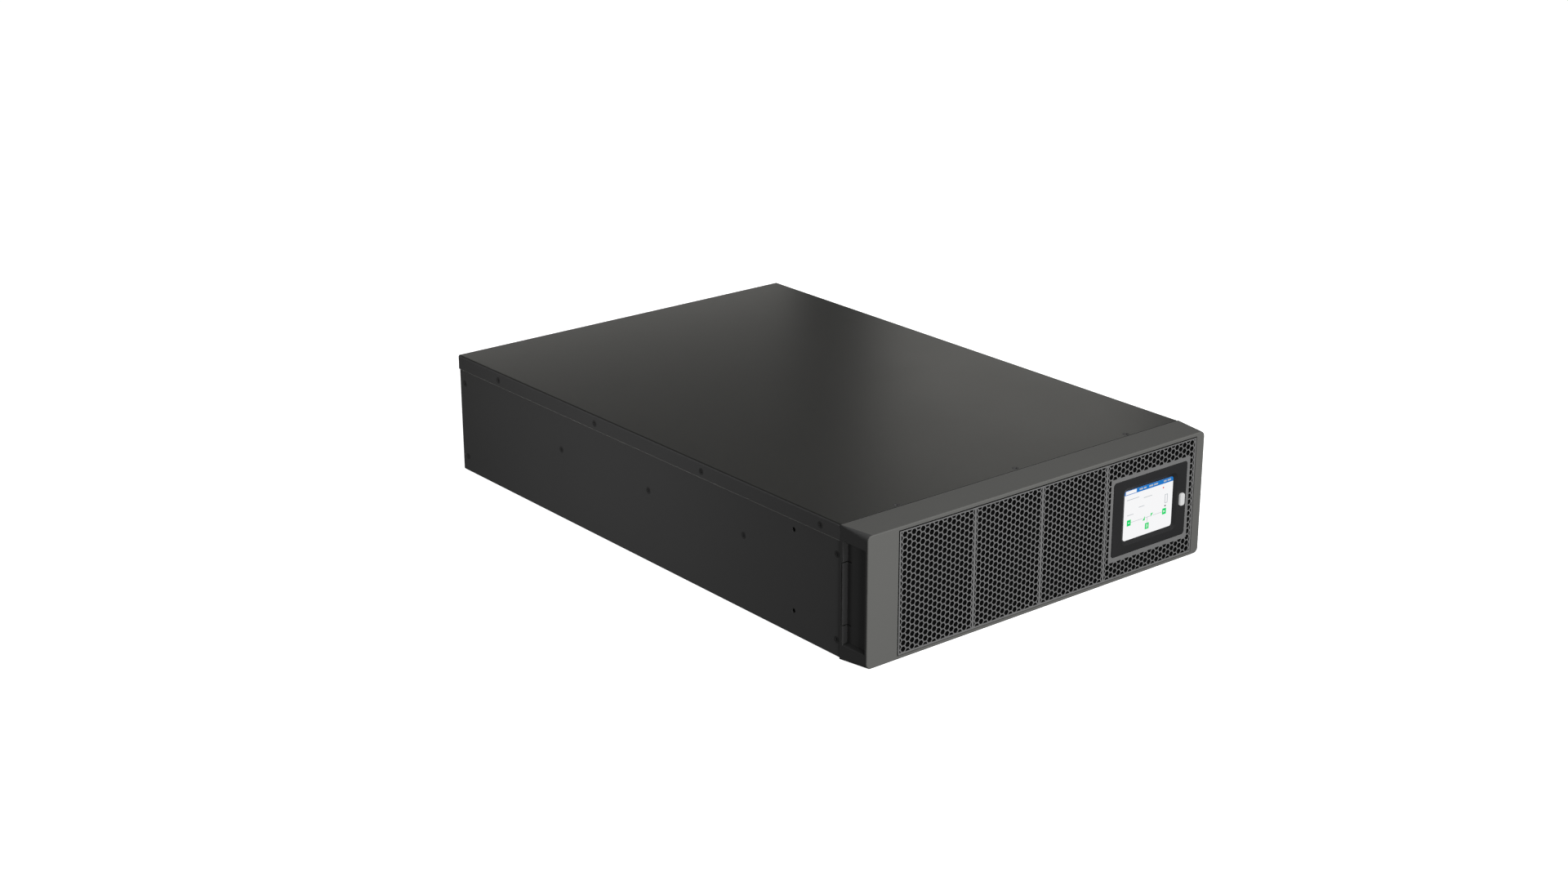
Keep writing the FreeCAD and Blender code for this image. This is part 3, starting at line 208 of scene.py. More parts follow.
COVER_PAINT = Finish("cover_paint", (0.09, 0.09, 0.086), 0.3, grain=Grain.POWDER, mottle=0.02,
                     mottle_size=0.1)
CHASSIS_PAINT = Finish("chassis_paint", (0.2, 0.2, 0.2), 0.45, grain=Grain.POWDER, mottle=0.02,
                       mottle_size=0.1)
# Pale strips on the rounded edges of the cover's flanges: painted highlights.
EDGE_HIGHLIGHT = Finish("edge_highlight", (0.56, 0.56, 0.54), 0.5, grain=Grain.SMOOTH, mottle=0.02)
# Dark strip on the cover's rounded front edge, at the seam with the bezel: painted shade.
SEAM_SHADE = Finish("seam_shade", (0.08, 0.08, 0.08), 0.8, specular=0.1, grain=Grain.SMOOTH)
# Near-black paint of the front bulkhead, made dark enough to also stand in for the shade behind the grille.
BULKHEAD_PAINT_SHADE = Finish("bulkhead_paint_shade", (0.02, 0.02, 0.02), 0.9, specular=0.1, grain=Grain.POWDER)
BEZEL_PLASTIC = Finish("bezel_plastic", (0.215, 0.215, 0.21), 0.55, mottle=0.02, mottle_size=0.1)
# Darker copy of the bezel plastic for its sides and finger pockets: painted shade.
BEZEL_SIDE_SHADE = Finish("bezel_side_shade", (0.17, 0.17, 0.17), 0.6, specular=0.35, mottle=0.02, mottle_size=0.1)
GRILLE_PLASTIC = Finish("grille_plastic", (0.25, 0.25, 0.25), 0.55, mottle=0.02, mottle_size=0.1)
# Near-black walls of the cells, bars and frames: painted shade.
CELL_WALL_SHADE = Finish("cell_wall_shade", (0.06, 0.06, 0.06), 0.8, specular=0.1, grain=Grain.SMOOTH)
# Black foam behind the honeycomb: a dust filter whose black also stands in for the shade inside the case.
FILTER_FOAM_SHADE = Finish("filter_foam_shade", (0.015, 0.015, 0.015), 1.0, specular=0.03, grain_size=0.001)
PANEL_PLASTIC = Finish("panel_plastic", (0.075, 0.075, 0.077), 0.5, specular=0.3)
SCREEN_GLASS = Finish("screen_glass", (0.04, 0.04, 0.05), 0.12, grain=Grain.SMOOTH)
LAMP_PLASTIC = Lit("lamp_plastic", (0.8, 0.8, 0.8), 0.35, grain=Grain.SMOOTH, glow=0.62, body=0.15)
BLACK_SCREW = Finish("black_screw", (0.15, 0.15, 0.15), 0.5, specular=0.35, grain=Grain.SMOOTH)
BRIGHT_STEEL = Finish("bright_steel", (0.72, 0.72, 0.7), 0.3, metallic=1.0, grain=Grain.BRUSHED)
# Near-black discs in the socket holes and the standoff bores: painted shade.
PIT_SHADE = Finish("pit_shade", (0.02, 0.02, 0.02), 0.9, specular=0.1)
FAN_PLASTIC = Finish("fan_plastic", (0.1, 0.1, 0.1), 0.5)
BREAKER_PLASTIC = Finish("breaker_plastic", (0.15, 0.15, 0.15), 0.45)
LEVER_PLASTIC = Finish("lever_plastic", (0.07, 0.07, 0.07), 0.3)
CONNECTOR_PLASTIC = Finish("connector_plastic", (0.42, 0.42, 0.42), 0.5)
TERMINAL_PLASTIC = Finish("terminal_plastic", (0.12, 0.12, 0.12), 0.5)
SIGNAL_PLASTIC = Finish("signal_plastic", (0.12, 0.42, 0.2), 0.45)
PLUG_RUBBER = Finish("plug_rubber", (0.07, 0.07, 0.07), 0.8)
SINK_ALUMINIUM = Finish("sink_aluminium", (0.75, 0.76, 0.78), 0.35, metallic=1.0, grain=Grain.BRUSHED)
COPPER_WIRE = Finish("copper_wire", (0.72, 0.42, 0.22), 0.35, metallic=1.0, grain=Grain.BRUSHED)
BOARD_MASK = Finish("board_mask", (0.08, 0.28, 0.15), 0.35, coat=0.3)
BLACK_EPOXY = Finish("black_epoxy", (0.08, 0.08, 0.08), 0.5)
SLEEVE_FILM = Finish("sleeve_film", (0.1, 0.12, 0.2), 0.25, grain=Grain.SMOOTH)
FILM_BOX = Finish("film_box", (0.5, 0.5, 0.52), 0.4)
FERRITE = Finish("ferrite", (0.18, 0.18, 0.18), 0.6)
NATURAL_NYLON = Finish("natural_nylon", (0.88, 0.87, 0.82), 0.5)
PRINT_WHITE = Finish("print_white", (0.85, 0.85, 0.85), 0.6, grain=Grain.SMOOTH)
LIT_WHITE = pixel("lit_white", (0.965, 0.965, 0.97))
LIT_BLUE = pixel("lit_blue", (0.13, 0.47, 0.78))
LIT_GREEN = pixel("lit_green", (0.1, 0.84, 0.42))
LIT_RED = pixel("lit_red", (0.9, 0.15, 0.2))
LIT_GREY = pixel("lit_grey", (0.72, 0.74, 0.76))
LIT_DARK = pixel("lit_dark", (0.2, 0.2, 0.22))
FLOOR_PAPER = Lit("floor_paper", (0.985, 0.985, 0.985), 0.9, specular=0.1, grain=Grain.SMOOTH, body=0.3)

# The nodes inside the closed case keep their shapes and get these finishes.
INTERIOR = (
    (BOARD_MASK, ("power_board", "control_board", "charger_board", "filter_board", "display_board")),
    (SINK_ALUMINIUM, ("heatsink_left", "heatsink_right")),
    (BLACK_EPOXY, ("power_transistors", "power_relays")),
    (SLEEVE_FILM, ("bus_capacitors",)),
    (FERRITE, ("choke_cores", "charger_transformer", "filter_choke")),
    (COPPER_WIRE, ("choke_windings",)),
    (FILM_BOX, ("film_capacitors",)),
    (NATURAL_NYLON, ("card_guides",)),
    (BRIGHT_STEEL, ("board_spacers", "deck_spacers", "filter_spacers")),
    (CHASSIS_PAINT, ("upper_deck",)),
    # The bulkhead's near-black paint also stands in for the shade seen through the grille.
    (BULKHEAD_PAINT_SHADE, ("front_bulkhead",)),
    # The ear nuts take the black screw finish as painted shade, so the ear holes in front of them look dark.
    (BLACK_SCREW, ("ear_nuts",)),
)


def facing(axis: Vector) -> Matrix:
    """Turn that takes the upright direction to another one."""
    return axis.to_track_quat("Z", "Y").to_matrix().to_4x4()


def verts_of(geometry: list) -> list[Vert]:
    """Vertices among the results of an operation."""
    return [g for g in geometry if isinstance(g, Vert)]


def edges_of(geometry: list) -> list[Edge]:
    """Edges among the results of an operation."""
    return [g for g in geometry if isinstance(g, Edge)]


@dataclass(frozen=True)
class Rect:
    """Upright rectangle seen from the front."""

    left: float
    right: float
    low: float
    high: float

    def inset(self, step: float) -> "Rect":
        """Move every side inwards, or outwards by a negative step."""
        return Rect(self.left + step, self.right - step, self.low + step, self.high - step)

    def holds(self, point: Vector) -> bool:
        """Tell whether a point lies inside, seen from the front."""
        return self.left < point.x < self.right and self.low < point.z < self.high


def outline_of(node: str) -> Rect:
    """Rectangle round a node, seen from the front."""
    low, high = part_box(node)
    return Rect(low.x, high.x, low.z, high.z)


class Shape:
    """Mesh under construction, in metres in the part's own frame."""

    def __init__(self) -> None:
        """Start an empty mesh."""
        self.bm = bmesh.new()

    def paint(self, before: set[Face], material: int) -> None:
        """Give all faces but the earlier ones their place in the piece's list of finishes."""
        for face in self.bm.faces:
            if face not in before:
                face.material_index = material

    def bevel(self, edges: list[Edge], width: float, segments: int = 2,
              clamp: bool = True) -> None:
        """Round some edges. A clamped rounding stops where it would meet another."""
        bmesh.ops.bevel(self.bm, geom=edges, offset=width, offset_type="OFFSET", segments=segments,
                        profile=0.5, affect="EDGES", material=-1, clamp_overlap=clamp)

    def box(self, low: Vector, high: Vector, edge: float = 0.0) -> None:
        """Add a block between two corners, with its edges rounded."""
        matrix = Matrix.Translation((low + high) / 2) @ Matrix.Diagonal((*(high - low), 1))
        made = bmesh.ops.create_cube(self.bm, size=1, matrix=matrix)
        if edge > 0:
            self.bevel(list({e for v in made["verts"] for e in v.link_edges}), edge)

    def rod(self, start: Vector, end: Vector, radius: float, sides: int = 24, edge: float = 0.0,
            material: int = 0) -> None:
        """Add a round bar.

        Args:
            start: Middle of one end.
            end: Middle of the other end.
            radius: Its radius.
            sides: Number of sides.
            edge: Rounding of both rims.
            material: Place of its material in the piece's list.
        """
        before = set(self.bm.faces)
        matrix = Matrix.Translation((start + end) / 2) @ facing(end - start)
        made = bmesh.ops.create_cone(self.bm, cap_ends=True, segments=sides, radius1=radius, radius2=radius,
                                     depth=(end - start).length, matrix=matrix)
        if edge > 0:
            caps = {f for v in made["verts"] for f in v.link_faces if len(f.verts) == sides}
            self.bevel(list({e for f in caps for e in f.edges}), edge)
        self.paint(before, material)

    def lathe(self, at: Vector, axis: Vector, profile: list[Pair],
              steps: int) -> list[Vert]:
        """Spin a profile about an axis.

        Args:
            at: Foot of the axis.
            axis: Direction of the axis.
            profile: Radius and height of each point, from the foot up.
            steps: Number of sides.

        Returns:
            The new vertices.
        """
        before = set(self.bm.verts)
        line = [self.bm.verts.new((radius, 0, height)) for radius, height in profile]
        edges = [self.bm.edges.new(pair) for pair in zip(line, line[1:])]
        bmesh.ops.spin(self.bm, geom=line + edges, cent=(0, 0, 0), axis=UP, angle=2 * math.pi,
                       steps=steps, use_merge=True)
        spun = [v for v in self.bm.verts if v not in before]
        bmesh.ops.remove_doubles(self.bm, verts=spun, dist=WELD)
        made = [v for v in self.bm.verts if v not in before]
        bmesh.ops.transform(self.bm, matrix=Matrix.Translation(at) @ facing(axis), verts=made)
        return made

    def polygon(self, points: list[Vector], radius: float = 0.0, segments: int = 6) -> Face:
        """Add one flat face.

        Args:
            points: Its corners in turn.
            radius: Rounding of the corners.
            segments: Number of spans in each corner.

        Returns:
            The face.
        """
        before = set(self.bm.faces)
        face = self.bm.faces.new([self.bm.verts.new(p) for p in points])
        if radius > 0:
            bmesh.ops.bevel(self.bm, geom=list(face.verts), offset=radius, offset_type="OFFSET",
                            segments=segments, profile=0.5, affect="VERTICES", material=-1)
        return next(f for f in self.bm.faces if f not in before)

    def rectangle(self, y: float, area: Rect, radius: float = 0.0, segments: int = 6) -> Face:
        """Add an upright rectangle that faces the front, with rounded corners."""
        corners = [Vector((area.left, y, area.low)), Vector((area.right, y, area.low)),
                   Vector((area.right, y, area.high)), Vector((area.left, y, area.high))]
        return self.polygon(corners, radius, segments)

    def ring(self, y: float, outer: Rect, inner: Rect, radius: float = 0.0) -> None:
        """Add a flat frame between two rectangles, of which the inner one has rounded corners."""
        faces = [self.rectangle(y, outer), self.rectangle(y, inner, radius)]
        rims = [e for face in faces for e in face.edges]
        bmesh.ops.delete(self.bm, geom=faces, context="FACES_ONLY")
        bmesh.ops.bridge_loops(self.bm, edges=rims)

    def band(self, loops: list[tuple[float, Rect, float]], segments: int) -> None:
        """Add a closed ring through rounded rectangles, each given by depth, sides and corner radius."""
        faces = [self.rectangle(*loop, segments) for loop in loops]
        rims = [list(face.edges) for face in faces]
        bmesh.ops.delete(self.bm, geom=faces, context="FACES_ONLY")
        for index, rim in enumerate(rims):
            bmesh.ops.bridge_loops(self.bm, edges=rims[index - 1] + rim)

    def thicken(self, depth: float) -> None:
        """Turn a flat sheet that faces the front into a plate, towards the rear."""
        bmesh.ops.recalc_face_normals(self.bm, faces=self.bm.faces)
        grown = bmesh.ops.extrude_face_region(self.bm, geom=list(self.bm.faces), use_keep_orig=True)
        bmesh.ops.translate(self.bm, verts=verts_of(grown["geom"]), vec=REAR * depth)

    def merge(self, other: "Shape") -> None:
        """Take over all of another mesh under construction."""
        mesh = bpy.data.meshes.new("merged")
        other.bm.to_mesh(mesh)
        other.bm.free()
        self.bm.from_mesh(mesh)
        bpy.data.meshes.remove(mesh)

    def piece(self, name: str, finishes: list[Finish], body: str = STATIC_BODY,
              replaces: tuple[str, ...] = (), sharp: float = PIECE_SHARP, flat: bool = False) -> None:
        """Finish the mesh as a piece of the object.

        Args:
            name: The piece's name.
            finishes: Its finishes, in the order of the faces' material numbers.
            body: The body it rides on.
            replaces: The nodes it stands for.
            sharp: Edges steeper than this many degrees stay sharp.
            flat: Whether it is made of loose flat faces, which keep their directions.
        """
        if not flat:
            bmesh.ops.recalc_face_normals(self.bm, faces=self.bm.faces)
        mesh = bpy.data.meshes.new(name)
        self.bm.to_mesh(mesh)
        self.bm.free()
        for finish in finishes:
            mesh.materials.append(finish.material())
        mesh.shade_smooth()
        mesh.set_sharp_from_angle(angle=math.radians(sharp))
        made = bpy.data.objects.new(name, mesh)
        even = made.modifiers.new("even_shading", "WEIGHTED_NORMAL")
        even.keep_sharp = True
        bpy.context.scene.collection.objects.link(made)
        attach(made, body)
        if replaces:
            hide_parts(*replaces)
        LOG.info("%s: %d faces", name, len(mesh.polygons))


def body_of(node: str) -> str:
    """Name of the body that carries a node of the frame."""
    return next(body for body, nodes in frame["record"]["behaviour"]["bodies"].items() if node in nodes)


@dataclass(frozen=True)
class Accent:
    """Finish of the faces whose middles lie in a box."""

    finish: Finish
    low: tuple[float, float, float]
    high: tuple[float, float, float]

    def holds(self, point: Vector) -> bool:
        """Tell whether a point lies in the box."""
        return all(self.low[k] - HAIR <= point[k] <= self.high[k] + HAIR for k in range(3))


def soften(node: str, finish: Finish, edge: float = 0.0003, segments: int = 2,
           accents: tuple[Accent, ...] = ()) -> None:
    """Replace a node by a merged copy of itself with rounded edges.

    Args:
        node: The node's name.
        finish: Its finish.
        edge: Rounding of the edges.
        segments: Number of strips in the rounding.
        accents: Other finishes of some of its faces.
    """
    shape = Shape()
    bm = shape.bm
    bm.from_mesh(frame["nodes"][node].data)
    for face in bm.faces:
        face.material_index = 0
    bmesh.ops.remove_doubles(bm, verts=bm.verts, dist=WELD)
    bmesh.ops.dissolve_limit(bm, angle_limit=FLAT, verts=bm.verts, edges=bm.edges)
    corners = [e for e in bm.edges if len(e.link_faces) == 2 and e.calc_face_angle() > STEEP]
    shape.bevel(corners, edge, segments, clamp=False)
    for index, accent in enumerate(accents, start=1):
        for face in bm.faces:
            if accent.holds(face.calc_center_median()):
                face.material_index = index
    finishes = [finish, *[accent.finish for accent in accents]]
    shape.piece(node + "_shell", finishes, body=body_of(node), replaces=(node,), sharp=COPY_SHARP)


def dress(nodes: tuple[str, ...], finish: Finish) -> None:
    """Give nodes of the frame their finish."""
    for node in nodes:
        mesh = frame["nodes"][node].data
        mesh.materials.clear()
        mesh.materials.append(finish.material())
        LOG.info("%s: dressed in %s", node, finish.name)


def solids_of(node: str) -> list[tuple[Vector, Vector]]:
    """Find the middle and the half size of each separate solid of a node."""
    bm = bmesh.new()
    bm.from_mesh(frame["nodes"][node].data)
    bmesh.ops.remove_doubles(bm, verts=bm.verts, dist=WELD)
    left = set(bm.verts)
    found = []
    while left:
        island = {left.pop()}
        edge = set(island)
        while edge:
            edge = {e.other_vert(v) for v in edge for e in v.link_edges} - island
            island |= edge
        left -= island
        low = Vector(tuple(min(v.co[k] for v in island) for k in range(3)))
        high = Vector(tuple(max(v.co[k] for v in island) for k in range(3)))
        found.append(((low + high) / 2, (high - low) / 2))
    bm.free()
    return sorted(found, key=lambda pair: tuple(round(c, 5) for c in pair[0]))


@dataclass
class Grille:
    """Honeycomb insert of the bezel, at the fine pitch of the real one."""

    row_pitch: float = 0.006175
    rib: float = 0.00115
    wall_share: float = 0.5
    cell_depth: float = 0.0011
    first_column_x: float = -0.1745
    column_count: int = 73
    centre_z: float = 0.06527
    bar_columns: tuple[int, ...] = (16, 32, 48)
    bar_width: float = 0.0022
    area: Rect = Rect(-0.179, 0.204, 0.0067, 0.1235)
    display_gap: Rect = Rect(0.0883, 0.1987, 0.0225, 0.1078)
    opening_radius: float = 0.0035
    flange: float = 0.00185
    seam: float = 0.0006
    filter_front: float = 0.0013
    filter_back: float = 0.0021

    @property
    def column_pitch(self) -> float:
        """Distance between the columns of a regular honeycomb."""
        return self.row_pitch * math.sqrt(3) / 2

    @property
    def bars(self) -> list[Rect]:
        """Places of the deeper upright bars."""
        middles = [self.first_column_x + column * self.column_pitch for column in self.bar_columns]
        half = self.bar_width / 2
        return [Rect(x - half, x + half, self.area.low, self.area.high) for x in middles]

    def build(self) -> None:
        """Make the insert with painted shade on its walls, its frames, and the black filter behind its cells,
        whose black also serves as painted shade.
        """
        low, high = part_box("grille")
        area = self.area
        shape = Shape()
        self.cells(shape, low.y)
        for x, z, away in ((area.left, 0, -Vector((1, 0, 0))), (area.right, 0, Vector((1, 0, 0))),
                           (0, area.low, -UP), (0, area.high, UP)):
            geometry = [*shape.bm.verts, *shape.bm.edges, *shape.bm.faces]
            bmesh.ops.bisect_plane(shape.bm, geom=geometry, plane_co=(x, low.y, z), plane_no=away,
                                   clear_outer=True)
        for hole in (*self.bars, self.display_gap):
            self.clear(shape, hole)
        bmesh.ops.dissolve_degenerate(shape.bm, dist=HAIR, edges=shape.bm.edges)
        shape.thicken(self.cell_depth)
        shape.merge(self.frames(low.y, high.y))
        shape.bm.normal_update()
        # Faces that don't face the front, the walls of the cells, bars and frames, get near-black painted
        # shade.
        for face in shape.bm.faces:
            if abs(face.normal.y) < self.wall_share:
                face.material_index = 1
        shape.piece("honeycomb_grille", [GRILLE_PLASTIC, CELL_WALL_SHADE], replaces=("grille",))
        self.filter(low.y)

    def cells(self, shape: Shape, y: float) -> None:
        """Fill the area with hexagonal rings.

        Args:
            shape: The mesh to add them to.
            y: Depth of the front face.
        """
        upright = Matrix.Rotation(math.pi / 2, 4, "X") @ Matrix.Rotation(math.pi / 6, 4, "Z")
        radius = self.row_pitch / math.sqrt(3)
        hidden = self.display_gap.inset(radius)
        rows = math.ceil((self.area.high - self.area.low) / self.row_pitch / 2) + 1
        for column in range(-1, self.column_count):
            x = self.first_column_x + column * self.column_pitch
            for row in range(-rows, rows + 1):
                at = Vector((x, y, self.centre_z + (row + 0.5 * (column % 2)) * self.row_pitch))
                if not hidden.holds(at):
                    bmesh.ops.create_circle(shape.bm, cap_ends=True, radius=radius, segments=HEX_SIDES,
                                            matrix=Matrix.Translation(at) @ upright)
        bmesh.ops.remove_doubles(shape.bm, verts=shape.bm.verts, dist=HAIR)
        faces = list(shape.bm.faces)
        bmesh.ops.inset_individual(shape.bm, faces=faces, thickness=self.rib / 2, use_even_offset=True)
        bmesh.ops.delete(shape.bm, geom=faces, context="FACES")

    def clear(self, shape: Shape, hole: Rect) -> None:
        """Cut a rectangular hole out of the sheet of cells."""
        reach = hole.inset(-self.row_pitch)
        for at, normal in (((hole.left, 0, 0), (1, 0, 0)), ((hole.right, 0, 0), (1, 0, 0)),
                           ((0, 0, hole.low), UP), ((0, 0, hole.high), UP)):
            near = [f for f in shape.bm.faces if reach.holds(f.calc_center_median())]
            parts = {*near, *(e for f in near for e in f.edges), *(v for f in near for v in f.verts)}
            bmesh.ops.bisect_plane(shape.bm, geom=list(parts), plane_co=at, plane_no=normal)
        inside = [f for f in shape.bm.faces if hole.holds(f.calc_center_median())]
        bmesh.ops.delete(shape.bm, geom=inside, context="FACES")

    def frames(self, front: float, back: float) -> Shape:
        """Make the deeper bars and the two frames round the cells, between two depths."""
        shape = Shape()
        for bar in self.bars:
            shape.rectangle(front, bar)
        shape.ring(front, outline_of("grille").inset(self.seam), self.area)
        opening = outline_of("display_panel").inset(self.flange)
        shape.ring(front, self.display_gap, opening, self.opening_radius)
        shape.thicken(back - front)
        return shape

    def filter(self, front: float) -> None:
        """Make the thin black foam behind the cells, between the deeper bars: a dust filter whose black also
        serves as painted shade inside the case.
        """
        area, gap = self.area, self.display_gap
        lefts = [area.left, *[bar.right for bar in self.bars]]
        rights = [*[bar.left for bar in self.bars], gap.left]
        panes = [Rect(left, right, area.low, area.high) for left, right in zip(lefts, rights)]
        panes += [Rect(gap.left, gap.right, area.low, gap.low),
                  Rect(gap.left, gap.right, gap.high, area.high),
                  Rect(gap.right, area.right, area.low, area.high)]
        shape = Shape()
        for pane in panes:
            foam = pane.inset(HAIR)
            shape.box(Vector((foam.left, front + self.filter_front, foam.low)),
                      Vector((foam.right, front + self.filter_back, foam.high)))
        shape.piece("dust_filter_and_shade", [FILTER_FOAM_SHADE])


@dataclass
class ScreenPicture:
    """Generic picture of a power flow, made of flat coloured shapes.

    Places and sizes are shares of the width and the height, from the picture's top left corner. An area is
    its left, right, top and bottom. A shape on a higher level lies in front of the lower ones.
    """

    centre: Vector
    y: float
    width: float
    height: float
    layer: float
    colors: tuple[Finish, ...] = (LIT_WHITE, LIT_BLUE, LIT_GREEN, LIT_RED, LIT_GREY, LIT_DARK)
    head: Area = (0, 1, 0, 0.093)
    head_plate: Area = (0.02, 0.24, 0.012, 0.08)
    menu: tuple[Pair, ...] = ((0.3, 0.37), (0.39, 0.44), (0.5, 0.58), (0.6, 0.68),
                                             (0.8, 0.86), (0.88, 0.95))
    menu_rows: Pair = (0.03, 0.062)
    notes: tuple[tuple[float, float, float], ...] = ((0.05, 0.3, 0.19), (0.4, 0.57, 0.24), (0.07, 0.2, 0.5),
                                                     (0.3, 0.42, 0.4))
    note_height: float = 0.012
    flow: tuple[Pair, ...] = ((0.15, 0.39), (0.44, 0.56), (0.61, 0.8))
    flow_rows: Pair = (0.658, 0.666)
    flow_down: Area = (0.486, 0.494, 0.666, 0.78)
    stations: tuple[Pair, ...] = ((0.07, 0.6), (0.8, 0.6), (0.45, 0.78))
    station_size: Pair = (0.08, 0.12)
    plug_sign: Area = (0.095, 0.125, 0.652, 0.668)
    arrow_sign: tuple[Pair, ...] = ((0.825, 0.685), (0.86, 0.66), (0.825, 0.635))
    cell_columns: Pair = (0.468, 0.512)
    cell_rows: tuple[float, ...] = (0.81, 0.835, 0.86)
    cell_height: float = 0.01
    converters: tuple[tuple[Pair, ...], ...] = (((0.395, 0.71), (0.44, 0.71), (0.44, 0.625)),
                                                               ((0.56, 0.68), (0.61, 0.61), (0.56, 0.61)))
    battery: Area = (0.84, 0.9, 0.32, 0.5)
    battery_line: float = 0.012
    load_sign: Area = (0.84, 0.87, 0.54, 0.565)
    dot_place: Pair = (0.8, 0.17)
    dot_radius: float = 0.013
    dot_sides: int = 16

    def build(self) -> None:
        """Make the picture as one piece."""
        shape = Shape()
        self.fill(shape, (0, 1, 0, 1), 0, LIT_WHITE)
        self.fill(shape, self.head, 1, LIT_BLUE)
        self.fill(shape, self.head_plate, 2, LIT_WHITE)
        for columns in self.menu:
            self.fill(shape, (*columns, *self.menu_rows), 2, LIT_GREY)
        for left, right, top in self.notes:
            self.fill(shape, (left, right, top, top + self.note_height), 1, LIT_GREY)
        for columns in self.flow:
            self.fill(shape, (*columns, *self.flow_rows), 1, LIT_GREY)
        self.fill(shape, self.flow_down, 1, LIT_GREY)
        wide, tall = self.station_size
        for left, top in self.stations:
            self.fill(shape, (left, left + wide, top, top + tall), 2, LIT_GREEN)
        self.fill(shape, self.plug_sign, 3, LIT_WHITE)
        self.polygon(shape, self.arrow_sign, 3, LIT_WHITE)
        for top in self.cell_rows:
            self.fill(shape, (*self.cell_columns, top, top + self.cell_height), 3, LIT_WHITE)
        for corners in self.converters:
            self.polygon(shape, corners, 2, LIT_GREEN)
        self.outline(shape, self.battery, 2, LIT_GREY)
        self.fill(shape, self.load_sign, 2, LIT_DARK)
        self.dot(shape)
        shape.piece("screen_picture", list(self.colors), flat=True)

    def point(self, across: float, down: float, level: int) -> Vector:
        """Place of a point of the picture."""
        return Vector((self.centre.x + (across - 0.5) * self.width, self.y - level * self.layer,
                       self.centre.z + (0.5 - down) * self.height))

    def polygon(self, shape: Shape, corners: tuple[Pair, ...], level: int,
                color: Finish) -> None:
        """Add a filled shape, whose corners go round as seen from the front."""
        face = shape.polygon([self.point(across, down, level) for across, down in corners])
        face.material_index = self.colors.index(color)

    def fill(self, shape: Shape, area: Area, level: int, color: Finish) -> None:
        """Add a filled rectangle."""
        left, right, top, bottom = area
        self.polygon(shape, ((left, bottom), (right, bottom), (right, top), (left, top)), level, color)

    def outline(self, shape: Shape, area: Area, level: int, color: Finish) -> None:
        """Add an outlined rectangle."""
        left, right, top, bottom = area
        line = self.battery_line
        for side in ((left, right, top, top + line), (left, right, bottom - line, bottom),
                     (left, left + line, top + line, bottom - line),
                     (right - line, right, top + line, bottom - line)):
            self.fill(shape, side, level, color)

    def dot(self, shape: Shape) -> None:
        """Add the round red dot."""
        before = set(shape.bm.faces)
        matrix = Matrix.Translation(self.point(*self.dot_place, 2)) @ Matrix.Rotation(math.pi / 2, 4, "X")
        bmesh.ops.create_circle(shape.bm, cap_ends=True, radius=self.dot_radius * self.width,
                                segments=self.dot_sides, matrix=matrix)
        shape.paint(before, self.colors.index(LIT_RED))


@dataclass
class Display:
    """Charcoal panel with its sloping lip, the lit screen and the status lamp."""

    flange: float = 0.002
    corner_radius: float = 0.0035
    corner_spans: int = 8
    edge: float = 0.0009
    edge_share: float = 0.3
    window_lip: float = 0.004
    mouth_radius: float = 0.006
    sill_radius: float = 0.003
    lip_depth: float = 0.0024
    panel_sharp: float = 24
    view_width: float = 0.068
    view_height: float = 0.0515
    screen_edge: float = 0.0003
    layer: float = 0.00004
    lamp_chamfer: float = 0.0014
    lamp_edge: float = 0.0009
    lamp_spans: int = 3

    def build(self) -> None:
        """Make all pieces of the display."""
        low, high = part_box("display_panel")
        middle = (low + high) / 2
        self.panel(low.y, high.y, middle)
        self.screen(middle)
        self.lamp()

    def panel(self, front: float, back: float, middle: Vector) -> None:
        """Make the panel as one moulding with softly rounded edges.

        Args:
            front: Depth of its front face.
            back: Depth of its rear face.
            middle: Its middle.
        """
        outer = outline_of("display_panel").inset(self.flange)
        wide, tall = self.view_width / 2, self.view_height / 2
        window = Rect(middle.x - wide, middle.x + wide, middle.z - tall, middle.z + tall)
        edge, radius = self.edge, self.corner_radius
        ease = edge * self.edge_share
        loops = [
            (back, outer, radius),
            (front + edge, outer, radius),
            (front + ease, outer.inset(ease), radius - ease),
            (front, outer.inset(edge), radius - edge),
            (front + HAIR, window.inset(-self.window_lip), self.mouth_radius),
            (front + self.lip_depth, window, self.sill_radius),
            (back, window, self.sill_radius),
        ]
        shape = Shape()
        shape.band(loops, self.corner_spans)
        shape.piece("display_surround", [PANEL_PLASTIC], replaces=("display_panel",),
                    sharp=self.panel_sharp)

    def screen(self, middle: Vector) -> None:
        """Make the glass and the lit picture of generic signs on it."""
        low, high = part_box("screen")
        shape = Shape()
        shape.box(low, high, self.screen_edge)
        shape.piece("screen_module", [SCREEN_GLASS], replaces=("screen",))
        ScreenPicture(middle, low.y - self.layer, self.view_width, self.view_height, self.layer).build()

    def lamp(self) -> None:
        """Make the milky light pipe beside the screen."""
        low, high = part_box("status_lamp")
        shape = Shape()
        shape.rectangle(high.y, outline_of("status_lamp"), radius=self.lamp_chamfer, segments=1)
        shape.thicken(low.y - high.y)
        front = [f for f in shape.bm.faces if f.calc_center_median().y < low.y + WELD]
        shape.bevel(list({e for f in front for e in f.edges}), self.lamp_edge, self.lamp_spans)
        shape.piece("status_light", [LAMP_PLASTIC], replaces=("status_lamp",), sharp=COPY_SHARP)


